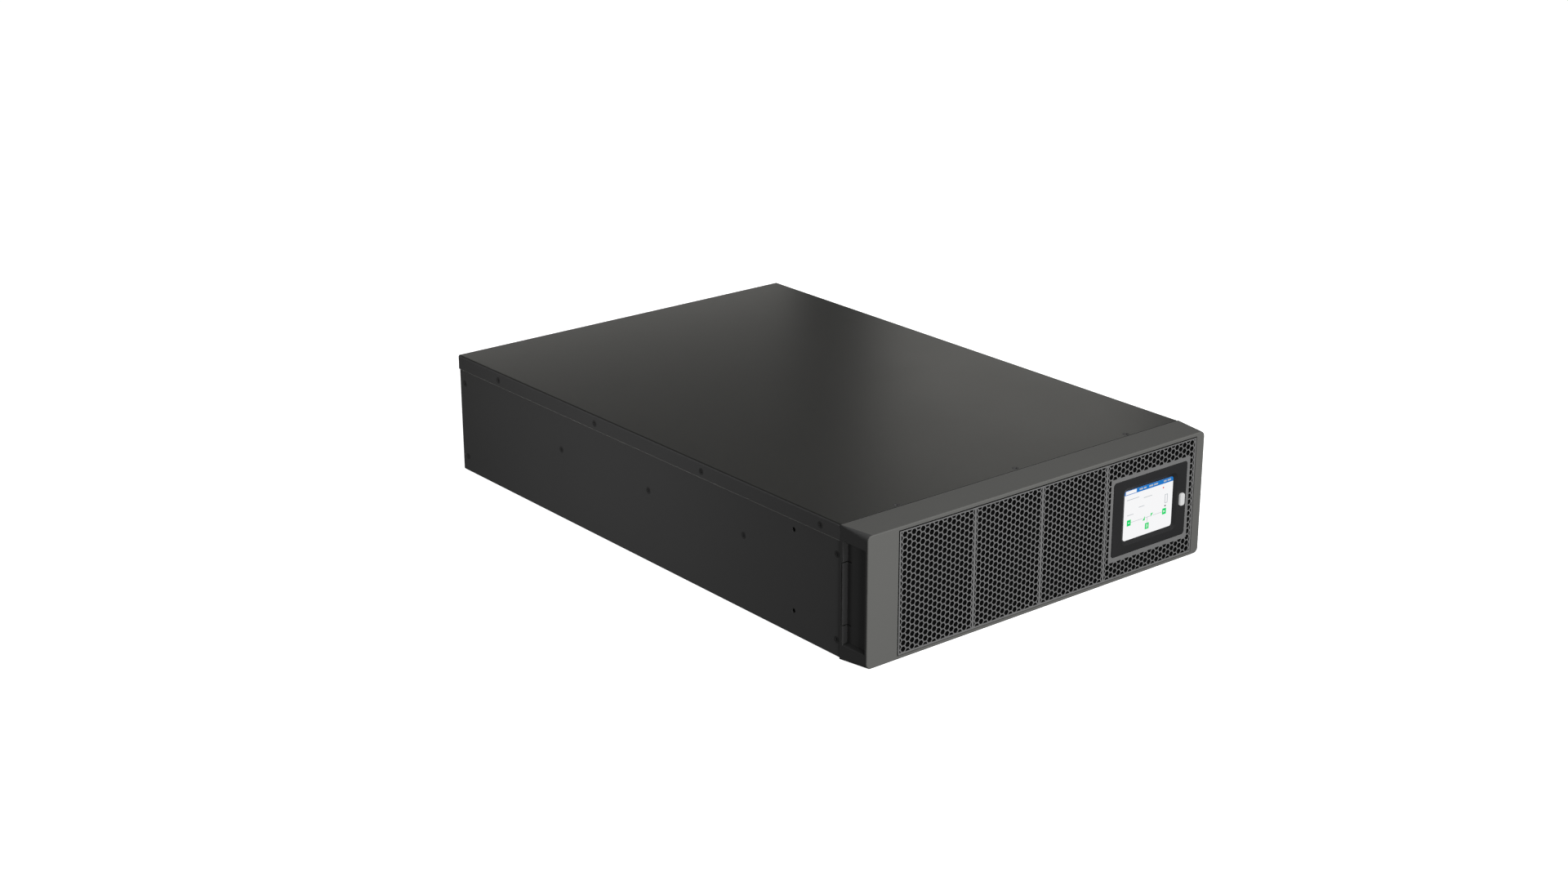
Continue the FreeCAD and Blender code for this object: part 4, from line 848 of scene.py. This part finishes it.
@dataclass
class CrossScrew:
    """Head of a screw with a cross recess."""

    radius: float = 0.0034
    land_share: float = 0.86
    rim: float = 0.0002
    shank: float = 0.0018
    depth: float = 0.0012
    dome: float = 0.0
    recess: float = 0.0017
    recess_depth: float = 0.0009
    recess_taper: float = 0.7
    wing_share: float = 0.62
    sides: int = 24
    wing_sides: int = 2

    def add(self, shape: Shape, at: Vector, outward: Vector) -> None:
        """Add one head.

        Args:
            shape: The mesh to add it to.
            at: Middle of the head's outer face, before its dome.
            outward: Direction out of the surface.
        """
        head = Shape()
        bm = head.bm
        bmesh.ops.create_circle(bm, cap_ends=True, radius=self.recess, segments=self.sides)
        wings = list(bm.faces)
        ring = bmesh.ops.inset_region(bm, faces=wings, thickness=self.recess * self.wing_share)["faces"]
        step = self.sides // 4
        wings += [f for i, f in enumerate(self.around(ring)) if i % step < self.wing_sides]
        rim = [e for e in bm.edges if e.is_boundary]
        for radius, lift in ((self.radius * self.land_share, 0), (self.radius, -self.dome),
                             (self.radius, -self.dome - self.rim), (self.shank, -self.dome - self.depth)):
            grown = bmesh.ops.extrude_edge_only(bm, edges=rim)["geom"]
            for vert in verts_of(grown):
                flat = Vector((vert.co.x, vert.co.y, 0)).normalized() * radius
                vert.co = Vector((flat.x, flat.y, lift))
            rim = edges_of(grown)
        bmesh.ops.contextual_create(bm, geom=rim)
        sunk = bmesh.ops.extrude_face_region(bm, geom=wings)["geom"]
        bmesh.ops.delete(bm, geom=[f for f in wings if f.is_valid], context="FACES")
        for vert in verts_of(sunk):
            across = vert.co * self.recess_taper
            vert.co = Vector((across.x, across.y, -self.recess_depth))
        matrix = Matrix.Translation(at + outward * self.dome) @ facing(outward)
        bmesh.ops.transform(bm, matrix=matrix, verts=bm.verts)
        shape.merge(head)

    def around(self, faces: list[Face]) -> list[Face]:
        """Sort the faces of a disc by their angle."""
        middles = {face: face.calc_center_median() for face in faces}
        return sorted(faces, key=lambda face: math.atan2(middles[face].y, middles[face].x))


@dataclass
class Fasteners:
    """All cross recess screws that show, each in the place that the frame gives it."""

    flush: CrossScrew = field(default_factory=CrossScrew)
    pan: CrossScrew = field(default_factory=lambda: CrossScrew(dome=0.0008, depth=0.0009))

    def build(self) -> None:
        """Make the heads of every group."""
        for node in ("cover_screws", "side_screws"):
            self.group(node, lambda at: Vector((math.copysign(1, at.x), 0, 0)), self.flush, BLACK_SCREW)
        self.group("top_screws", lambda at: UP, self.flush, BLACK_SCREW)
        self.group("hood_screws", lambda at: REAR, self.pan, BRIGHT_STEEL)

    def group(self, node: str, direction: Callable[[Vector], Vector], head: CrossScrew,
              finish: Finish) -> None:
        """Replace one node of screws, of which each is turned outwards by its own place."""
        shape = Shape()
        for centre, half in solids_of(node):
            outward = direction(centre)
            reach = abs(outward.dot(half)) - head.dome
            head.add(shape, centre + outward * reach, outward)
        shape.piece(node + "_heads", [finish], replaces=(node,))


@dataclass
class Casing:
    """Sheet metal and bezel."""

    sheet_edge: float = 0.00025
    bezel_edge: float = 0.0003
    rim: float = 0.0004
    pocket_reach: float = 0.0065
    front_skin: float = 0.0012

    def build(self) -> None:
        """Make the outer pieces."""
        for node in ("base_tray", "rear_panel", "terminal_hood", "card_slot_cover"):
            soften(node, CHASSIS_PAINT, self.sheet_edge)
        self.cover()
        self.bezel()

    def cover(self) -> None:
        """Make the cover, with the paler chassis paint on its flanges as painted light, painted highlights
        along their edges and painted shade along its front edge.
        """
        low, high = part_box("top_cover")
        rim = self.rim
        accents = []
        for left, right in ((low.x, low.x + rim), (high.x - rim, high.x)):
            accents += [
                # The flanges take the paler chassis paint instead of the cover's own: one sheet of one paint,
                # painted lighter on its sides.
                Accent(CHASSIS_PAINT, (left, low.y, low.z), (right, high.y, high.z - rim)),
                # Thin pale strips along each flange's lower and upper edge: painted highlights.
                Accent(EDGE_HIGHLIGHT, (left, low.y + rim, low.z), (right, high.y, low.z + rim / 2)),
                Accent(EDGE_HIGHLIGHT, (left, low.y + rim, high.z - rim / 2), (right, high.y, high.z)),
            ]
        # The cover's rounded front edge, where it meets the bezel, gets painted shade.
        accents.append(Accent(SEAM_SHADE, (low.x, low.y, high.z - rim), (high.x, low.y + rim, high.z)))
        soften("top_cover", COVER_PAINT, self.sheet_edge, accents=tuple(accents))

    def bezel(self) -> None:
        """Make the bezel, whose sides and finger pockets get a darker copy of its plastic as painted shade.
        """
        low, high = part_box("bezel")
        front = low.y + self.front_skin
        reach = self.pocket_reach
        # The sides and finger pockets take a darker copy of the plastic: painted shade.
        soften("bezel", BEZEL_PLASTIC, self.bezel_edge, accents=(
            Accent(BEZEL_SIDE_SHADE, (low.x, front, low.z), (low.x + reach, high.y, high.z)),
            Accent(BEZEL_SIDE_SHADE, (high.x - reach, front, low.z), (high.x, high.y, high.z))))


@dataclass
class Fans:
    """Two axial fans with cambered and twisted blades."""

    blade_count: int = 7
    blade_spans: tuple[int, int] = (8, 6)
    hub_radius: float = 0.017
    hub_depth: float = 0.018
    hub_edge: float = 0.0015
    edge_share: float = 0.3
    hub_sides: int = 40
    shaft_radius: float = 0.0015
    shaft_sides: int = 16
    tip_radius: float = 0.035
    root_radius: float = 0.0165
    root_chord: float = 0.019
    tip_chord: float = 0.024
    root_pitch: float = 0.7
    tip_pitch: float = 1.02
    sweep: float = 0.3
    camber: float = 0.0022
    thickness: float = 0.0012

    def build(self) -> None:
        """Make both fans."""
        for side in ("left", "right"):
            soften("fan_frame_" + side, FAN_PLASTIC)
            self.rotor("fan_rotor_" + side)

    def rotor(self, node: str) -> None:
        """Make one rotor in the place of its node."""
        low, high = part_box(node)
        front = Vector(((low.x + high.x) / 2, low.y, (low.z + high.z) / 2))
        middle = front + REAR * (self.hub_depth / 2)
        radius, depth, edge = self.hub_radius, self.hub_depth, self.hub_edge
        ease = edge * self.edge_share
        shape = Shape()
        shape.lathe(front, REAR, [(0, 0), (radius - edge, 0), (radius - ease, ease), (radius, edge),
                                  (radius, depth - edge), (radius - edge, depth), (0, depth)], self.hub_sides)
        shape.rod(middle, Vector((front.x, high.y, front.z)), self.shaft_radius, self.shaft_sides)
        for index in range(self.blade_count):
            self.blade(shape, middle, 2 * math.pi * index / self.blade_count)
        shape.piece(node + "_impeller", [FAN_PLASTIC], body=body_of(node), replaces=(node,))

    def blade(self, shape: Shape, centre: Vector, angle: float) -> None:
        """Add one blade.

        Args:
            shape: The mesh to add it to.
            centre: Middle of the hub.
            angle: Angle of its root.
        """
        before = set(shape.bm.faces)
        spans, strips = self.blade_spans
        made = bmesh.ops.create_grid(shape.bm, x_segments=spans, y_segments=strips, size=0.5)["verts"]
        for vert in made:
            out, across = vert.co.x + 0.5, vert.co.y
            radius = self.root_radius + (self.tip_radius - self.root_radius) * out
            chord = self.root_chord + (self.tip_chord - self.root_chord) * out
            pitch = self.root_pitch + (self.tip_pitch - self.root_pitch) * out
            bulge = self.camber * (1 - 4 * across * across)
            turn = angle + self.sweep * out
            turn += (across * chord * math.sin(pitch) + bulge * math.cos(pitch)) / radius
            deep = across * chord * math.cos(pitch) - bulge * math.sin(pitch)
            vert.co = centre + Vector((radius * math.cos(turn), deep, radius * math.sin(turn)))
        sheet = [f for f in shape.bm.faces if f not in before]
        bmesh.ops.solidify(shape.bm, geom=sheet, thickness=self.thickness)


@dataclass
class InputBreaker:
    """Breaker body, its lever and the two marks beside the lever."""

    body_edge: float = 0.0004
    lever_edge: float = 0.0007
    lever_spans: int = 3
    mark_rise: float = 0.0165
    mark_size: float = 0.002
    mark_line: float = 0.0006
    mark_proud: float = 0.00005
    mark_sides: int = 28

    def build(self) -> None:
        """Make the breaker."""
        soften("input_breaker", BREAKER_PLASTIC, self.body_edge)
        soften("breaker_lever", LEVER_PLASTIC, self.lever_edge, self.lever_spans)
        low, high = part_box("input_breaker")
        x, z = (low.x + high.x) / 2, (low.z + high.z) / 2
        size, line, rise = self.mark_size, self.mark_line, self.mark_rise
        foot, face = high.y - line, high.y + self.mark_proud
        shape = Shape()
        shape.box(Vector((x - line / 2, foot, z + rise - size)),
                  Vector((x + line / 2, face, z + rise + size)))
        inner, height = size - line, face - foot
        shape.lathe(Vector((x, foot, z - rise)), REAR,
                    [(inner, 0), (size, 0), (size, height), (inner, height), (inner, 0)], self.mark_sides)
        shape.piece("breaker_marks", [PRINT_WHITE])


@dataclass
class BatterySocket:
    """Two pole battery connector with a contact blade in each cavity."""

    shell_edge: float = 0.0006
    shell_spans: int = 3
    cavity_share: float = 0.25
    cavity_depth: float = 0.016
    blade_width: float = 0.0085
    blade_height: float = 0.0024
    blade_length: float = 0.011
    blade_edge: float = 0.0004

    def build(self) -> None:
        """Make the connector."""
        soften("battery_connector", CONNECTOR_PLASTIC, self.shell_edge, self.shell_spans)
        low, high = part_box("battery_connector")
        middle = (low + high) / 2
        wide, tall = self.blade_width / 2, self.blade_height / 2
        floor = high.y - self.cavity_depth
        shape = Shape()
        for side in (-1, 1):
            x = middle.x + side * (high.x - low.x) * self.cavity_share
            shape.box(Vector((x - wide, floor - HAIR, middle.z - tall)),
                      Vector((x + wide, floor + self.blade_length, middle.z + tall)), self.blade_edge)
        shape.piece("battery_blades", [BRIGHT_STEEL])


@dataclass
class SerialPort:
    """Drawn shell round an insert with nine sockets, and its two standoffs."""

    width: float = 0.017
    foot_width: float = 0.014
    height: float = 0.009
    corner: float = 0.0018
    corner_spans: int = 5
    wall: float = 0.0006
    proud: float = 0.0058
    insert_depth: float = 0.0012
    pin_pitch: float = 0.00277
    pin_rows: float = 0.00284
    pin_counts: tuple[tuple[int, int], ...] = ((1, 5), (-1, 4))
    pin_radius: float = 0.00065
    pin_depth: float = 0.001
    pin_sides: int = 12
    standoff_spread: float = 0.0125
    standoff_radius: float = 0.0027
    standoff_length: float = 0.005
    standoff_bore: float = 0.0013
    bore_sides: int = 16
    flange_front: float = 0.0108
    flange_back: float = 0.012
    edge: float = 0.0002
    lift: float = 4 * HAIR

    def build(self) -> None:
        """Make the port."""
        low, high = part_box("serial_port")
        middle = (low + high) / 2
        shape = Shape()
        self.shell(shape, middle, low.y, high.y)
        for side, count in self.pin_counts:
            for index in range(count):
                at = Vector((middle.x + (index - (count - 1) / 2) * self.pin_pitch,
                             high.y - self.insert_depth, middle.z + side * self.pin_rows / 2))
                # Each socket hole is a near-black disc just proud of the insert: painted shade.
                shape.rod(at - REAR * self.pin_depth, at + REAR * self.lift, self.pin_radius, self.pin_sides,
                          material=2)
        for side in (-1, 1):
            foot = Vector((middle.x + side * self.standoff_spread, high.y - self.proud, middle.z))
            tip = foot + REAR * self.standoff_length
            shape.rod(foot, tip, self.standoff_radius, HEX_SIDES, self.edge)
            # The standoff's bore is a near-black disc on its end: painted shade.
            shape.rod(tip, tip + REAR * self.lift, self.standoff_bore, self.bore_sides, material=2)
        shape.box(Vector((low.x, low.y + self.flange_front, low.z)),
                  Vector((high.x, low.y + self.flange_back, high.z)), self.edge)
        shape.piece("serial_socket", [BRIGHT_STEEL, BLACK_EPOXY, PIT_SHADE], replaces=("serial_port",))

    def shell(self, shape: Shape, middle: Vector, back: float, front: float) -> None:
        """Add the shell, closed at the back, with the insert sunk into its mouth.

        Args:
            shape: The mesh to add it to.
            middle: Middle of the port.
            back: Depth of its inner end.
            front: Depth of its mouth.
        """
        top, foot, tall = self.width / 2, self.foot_width / 2, self.height / 2
        corners = ((-foot, -tall), (foot, -tall), (top, tall), (-top, tall))
        outline = [Vector((middle.x + across, front, middle.z + up)) for across, up in corners]
        mouth = shape.polygon(outline, self.corner, self.corner_spans)
        bmesh.ops.recalc_face_normals(shape.bm, faces=[mouth])
        grown = bmesh.ops.extrude_edge_only(shape.bm, edges=list(mouth.edges))["geom"]
        bmesh.ops.translate(shape.bm, verts=verts_of(grown), vec=REAR * (back - front))
        bmesh.ops.contextual_create(shape.bm, geom=edges_of(grown))
        bmesh.ops.inset_region(shape.bm, faces=[mouth], thickness=self.wall, use_even_offset=True)
        sunk = bmesh.ops.extrude_face_region(shape.bm, geom=[mouth])["geom"]
        bmesh.ops.delete(shape.bm, geom=[mouth], context="FACES_ONLY")
        bmesh.ops.translate(shape.bm, verts=verts_of(sunk), vec=-REAR * self.insert_depth)
        for face in sunk:
            if isinstance(face, Face):
                face.material_index = 1


@dataclass
class SignalPorts:
    """Data socket and clamp contacts."""

    socket_edge: float = 0.00025
    tongue_reach: float = 0.0029
    tongue_step: float = 0.0009
    contact_edge: float = 0.0002
    contact_ways: int = 6
    contact_sink: float = 0.0012
    contact_head: CrossScrew = field(default_factory=lambda: CrossScrew(
        radius=0.0017, shank=0.0009, depth=0.0008, recess=0.001, recess_depth=0.0005, sides=16, wing_sides=1))

    def build(self) -> None:
        """Make both ports."""
        self.data_socket()
        self.contacts()

    def data_socket(self) -> None:
        """Make the square data socket, with its tongue in plastic."""
        low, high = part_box("usb_port")
        middle = (low + high) / 2
        reach = self.tongue_reach
        tongue = Accent(CONNECTOR_PLASTIC, (middle.x - reach, low.y, middle.z - reach),
                        (middle.x + reach, high.y - self.tongue_step, middle.z + reach))
        soften("usb_port", BRIGHT_STEEL, self.socket_edge, accents=(tongue,))

    def contacts(self) -> None:
        """Make the clamp contacts, each with its screw."""
        soften("contact_block", SIGNAL_PLASTIC, self.contact_edge)
        low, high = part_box("contact_block")
        way = (high.x - low.x) / self.contact_ways
        shape = Shape()
        for index in range(self.contact_ways):
            at = Vector((low.x + (index + 0.5) * way, high.y - self.contact_sink, (low.z + high.z) / 2))
            self.contact_head.add(shape, at, REAR)
        shape.piece("contact_screws", [BRIGHT_STEEL])


@dataclass
class ThumbScrews:
    """Knurled screws of the card slot's cover."""

    neck_share: float = 0.8
    neck_height: float = 0.0008
    knurl_start: float = 0.0012
    chamfer: float = 0.0006
    top_share: float = 0.9
    dish_shares: Pair = (0.45, 0.4)
    dish_depth: float = 0.0008
    sides: int = 48
    groove_share: float = 0.94
    outer_share: float = 0.95

    def build(self) -> None:
        """Make all of them as one piece."""
        shape = Shape()
        for centre, half in solids_of("slot_screws"):
            self.screw(shape, centre - REAR * half.y, half.z, 2 * half.y)
        shape.piece("slot_thumb_screws", [BRIGHT_STEEL], replaces=("slot_screws",))

    def screw(self, shape: Shape, foot: Vector, radius: float, height: float) -> None:
        """Add one screw, with every other side of its rim cut back.

        Args:
            shape: The mesh to add it to.
            foot: Middle of its foot.
            radius: Its radius.
            height: Its height.
        """
        neck, dish = radius * self.neck_share, [radius * share for share in self.dish_shares]
        floor = height - self.dish_depth
        profile = [(0, 0), (neck, 0), (neck, self.neck_height), (radius, self.knurl_start),
                   (radius, height - self.chamfer), (radius * self.top_share, height), (dish[0], height),
                   (dish[1], floor), (0, floor)]
        for vert in shape.lathe(foot, REAR, profile, self.sides):
            core = Vector((foot.x, vert.co.y, foot.z))
            away = vert.co - core
            turn = round(math.atan2(away.z, away.x) / (2 * math.pi) * self.sides)
            if away.length > radius * self.outer_share and turn % 2:
                vert.co = core + away * self.groove_share


@dataclass
class CableBlanks:
    """Rubber blanks, each a plug with a rounded lip and a thin membrane.

    The lip's points are given by how far they lie in from the plug's radius and above its height, the
    membrane's by their share of the radius and their height above the plug's.
    """

    lip: tuple[Pair, ...] = ((0.0004, 0.0009), (0.0013, 0.0012), (0.0024, 0.0007),
                                            (0.0028, -0.0004))
    membrane: tuple[Pair, ...] = ((0.55, -0.0004), (0.5, 0), (0.3, 0.0003), (0, 0.0003))
    sides: int = 48

    def build(self) -> None:
        """Make both blanks as one piece."""
        shape = Shape()
        for centre, half in solids_of("cable_plugs"):
            radius, height = half.x, 2 * half.y
            profile = [(0, 0), (radius, 0), (radius, height)]
            profile += [(radius - inward, height + up) for inward, up in self.lip]
            profile += [(radius * share, height + up) for share, up in self.membrane]
            shape.lathe(centre - REAR * half.y, REAR, profile, self.sides)
        shape.piece("cable_blanks", [PLUG_RUBBER], replaces=("cable_plugs",))


@dataclass
class Terminals:
    """Terminal block under the hood, the hood's cable blanks and the earth stud."""

    blanks: CableBlanks = field(default_factory=CableBlanks)
    block_edge: float = 0.0003
    stud_radius: float = 0.0025
    stud_sides: int = 24
    thread_pitch: float = 0.0008
    thread_depth: float = 0.0003
    tip_chamfer: float = 0.0006
    nut_height: float = 0.004
    nut_edge: float = 0.0003
    washer_radius: float = 0.0052
    washer_height: float = 0.001
    washer_edge: float = 0.0001
    washer_sides: int = 28

    def build(self) -> None:
        """Make the terminal pieces."""
        soften("terminal_block", TERMINAL_PLASTIC, self.block_edge)
        self.blanks.build()
        self.stud()

    def stud(self) -> None:
        """Make the threaded earth stud with its nuts and washer."""
        low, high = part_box("earth_stud")
        foot = Vector(((low.x + high.x) / 2, low.y, (low.z + high.z) / 2))
        length, pitch, radius = high.y - low.y, self.thread_pitch, self.stud_radius
        profile = [(0, 0)]
        for index in range(int(length / pitch)):
            profile += [(radius - self.thread_depth, index * pitch), (radius, (index + 0.5) * pitch)]
        profile += [(radius - self.tip_chamfer, length), (0, length)]
        shape = Shape()
        shape.lathe(foot, REAR, profile, self.stud_sides)
        panel = Vector((foot.x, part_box("rear_panel")[1].y, foot.z))
        washer_top = panel + REAR * self.washer_height
        for start in (foot, washer_top):
            end = start + REAR * (self.nut_height - self.washer_height)
            shape.rod(start, end, (high.x - low.x) / 2, HEX_SIDES, self.nut_edge)
        shape.rod(panel, washer_top, self.washer_radius, self.washer_sides, self.washer_edge)
        shape.piece("earth_terminal", [BRIGHT_STEEL], replaces=("earth_stud",))


@dataclass
class Interior:
    """Electronics and other nodes inside the closed case."""

    def build(self) -> None:
        """Dress the inner nodes."""
        for finish, nodes in INTERIOR:
            dress(nodes, finish)


@dataclass(frozen=True)
class SoftLight:
    """Soft rectangular light, which may shine on dull surfaces, be mirrored in glossy ones, or both."""

    name: str
    place: tuple[float, float, float]
    target: tuple[float, float, float]
    size: Pair
    power: float
    color: Color = (1.0, 1.0, 1.0)
    shines: bool = True
    mirrored: bool = False

    def build(self) -> None:
        """Hang the light."""
        data = bpy.data.lights.new(self.name, "AREA")
        data.shape = "RECTANGLE"
        data.size, data.size_y = self.size
        data.energy = self.power
        data.color = self.color
        made = bpy.data.objects.new(self.name, data)
        bpy.context.scene.collection.objects.link(made)
        made.visible_camera = False
        made.visible_diffuse = self.shines
        made.visible_glossy = self.mirrored
        made.location = self.place
        made.rotation_mode = "QUATERNION"
        made.rotation_quaternion = (Vector(self.target) - Vector(self.place)).to_track_quat("-Z", "Y")


WARM = (1.0, 0.99, 0.93)
BEZEL_MIDDLE = (0, -0.3, 0.06)
CASE_TOP = (0, 0, 0.1)
LIGHTS = (
    SoftLight("key_softbox", (0.2, -2.3, 1.4), BEZEL_MIDDLE, (1.2, 1.0), 206),
    SoftLight("front_card", (-0.75, -2.2, 0.3), (-0.1, -0.33, 0.06), (0.5, 0.5), 35),
    SoftLight("gleam_card", (0.5, -2.3, 1.4), BEZEL_MIDDLE, (1.2, 1.0), 7, shines=False, mirrored=True),
    SoftLight("side_softbox", (-0.66, 0.1, 0.18), (-0.22, 0.09, 0.09), (0.3, 0.3), 1.75),
    SoftLight("back_card", (0.5, 1.9, 0.4), (0, 0.33, 0.06), (0.8, 0.4), 45),
    SoftLight("low_card", (0.1, 1.0, 0.18), CASE_TOP, (1.3, 0.34), 1.2, WARM, mirrored=True),
    SoftLight("right_card", (1.3, 1.0, 0.6), CASE_TOP, (0.5, 0.5), 0.5, WARM, mirrored=True),
)


@dataclass
class Studio:
    """Pale floor, soft lights and the camera at the photo's viewing angle."""

    camera_place: tuple[float, float, float] = (-1.52425, -1.82245, 0.93309)
    azimuth: float = math.radians(39.214)
    elevation: float = math.radians(19.885)
    lens: float = 56.28
    sensor: float = 36.0
    camera_reach: float = 200
    floor_size: float = 60.0
    room_light: float = 0.08

    def build(self) -> None:
        """Make the whole stage."""
        self.camera()
        self.floor()
        for light in LIGHTS:
            light.build()
        self.surroundings()
        bpy.context.scene.view_settings.view_transform = "Standard"

    def surroundings(self) -> None:
        """Make the room: dim for the object, white for the camera."""
        world = bpy.data.worlds.new("studio_world")
        bpy.context.scene.world = world
        world.use_nodes = True
        nodes, links = world.node_tree.nodes, world.node_tree.links
        room, backdrop = nodes["Background"], nodes.new("ShaderNodeBackground")
        for background, strength in ((room, self.room_light), (backdrop, 1)):
            background.inputs["Color"].default_value = (1, 1, 1, 1)
            background.inputs["Strength"].default_value = strength
        path = nodes.new("ShaderNodeLightPath")
        mix = nodes.new("ShaderNodeMixShader")
        links.new(path.outputs["Is Camera Ray"], mix.inputs["Fac"])
        links.new(room.outputs["Background"], mix.inputs[1])
        links.new(backdrop.outputs["Background"], mix.inputs[2])
        links.new(mix.outputs["Shader"], nodes["World Output"].inputs["Surface"])

    def camera(self) -> None:
        """Make the camera that matches the photo."""
        data = bpy.data.cameras.new("photo_camera")
        data.lens = self.lens
        data.sensor_width = self.sensor
        data.clip_end = self.camera_reach
        made = bpy.data.objects.new("photo_camera", data)
        bpy.context.scene.collection.objects.link(made)
        made.location = self.camera_place
        ahead = Vector((math.sin(self.azimuth) * math.cos(self.elevation),
                        math.cos(self.azimuth) * math.cos(self.elevation), -math.sin(self.elevation)))
        made.rotation_mode = "QUATERNION"
        made.rotation_quaternion = ahead.to_track_quat("-Z", "Y")
        bpy.context.scene.camera = made

    def floor(self) -> None:
        """Make the floor, which throws no light of its own on the object."""
        mesh = bpy.data.meshes.new("floor")
        bm = bmesh.new()
        bmesh.ops.create_grid(bm, x_segments=1, y_segments=1, size=self.floor_size / 2)
        bm.to_mesh(mesh)
        bm.free()
        mesh.materials.append(FLOOR_PAPER.material())
        made = bpy.data.objects.new("floor", mesh)
        bpy.context.scene.collection.objects.link(made)
        made.visible_diffuse = False
        made.visible_glossy = False


def main() -> None:
    """Build the stage, then each sub-assembly in turn."""
    logging.basicConfig(level=logging.INFO, format="%(name)s %(message)s")
    for part in (Studio, Casing, Grille, Display, Fasteners, Fans, InputBreaker, BatterySocket, SerialPort,
                 SignalPorts, ThumbScrews, Terminals, Interior):
        part().build()
        LOG.info("%s is built", part.__name__)


if __name__ == "__main__":
    main()
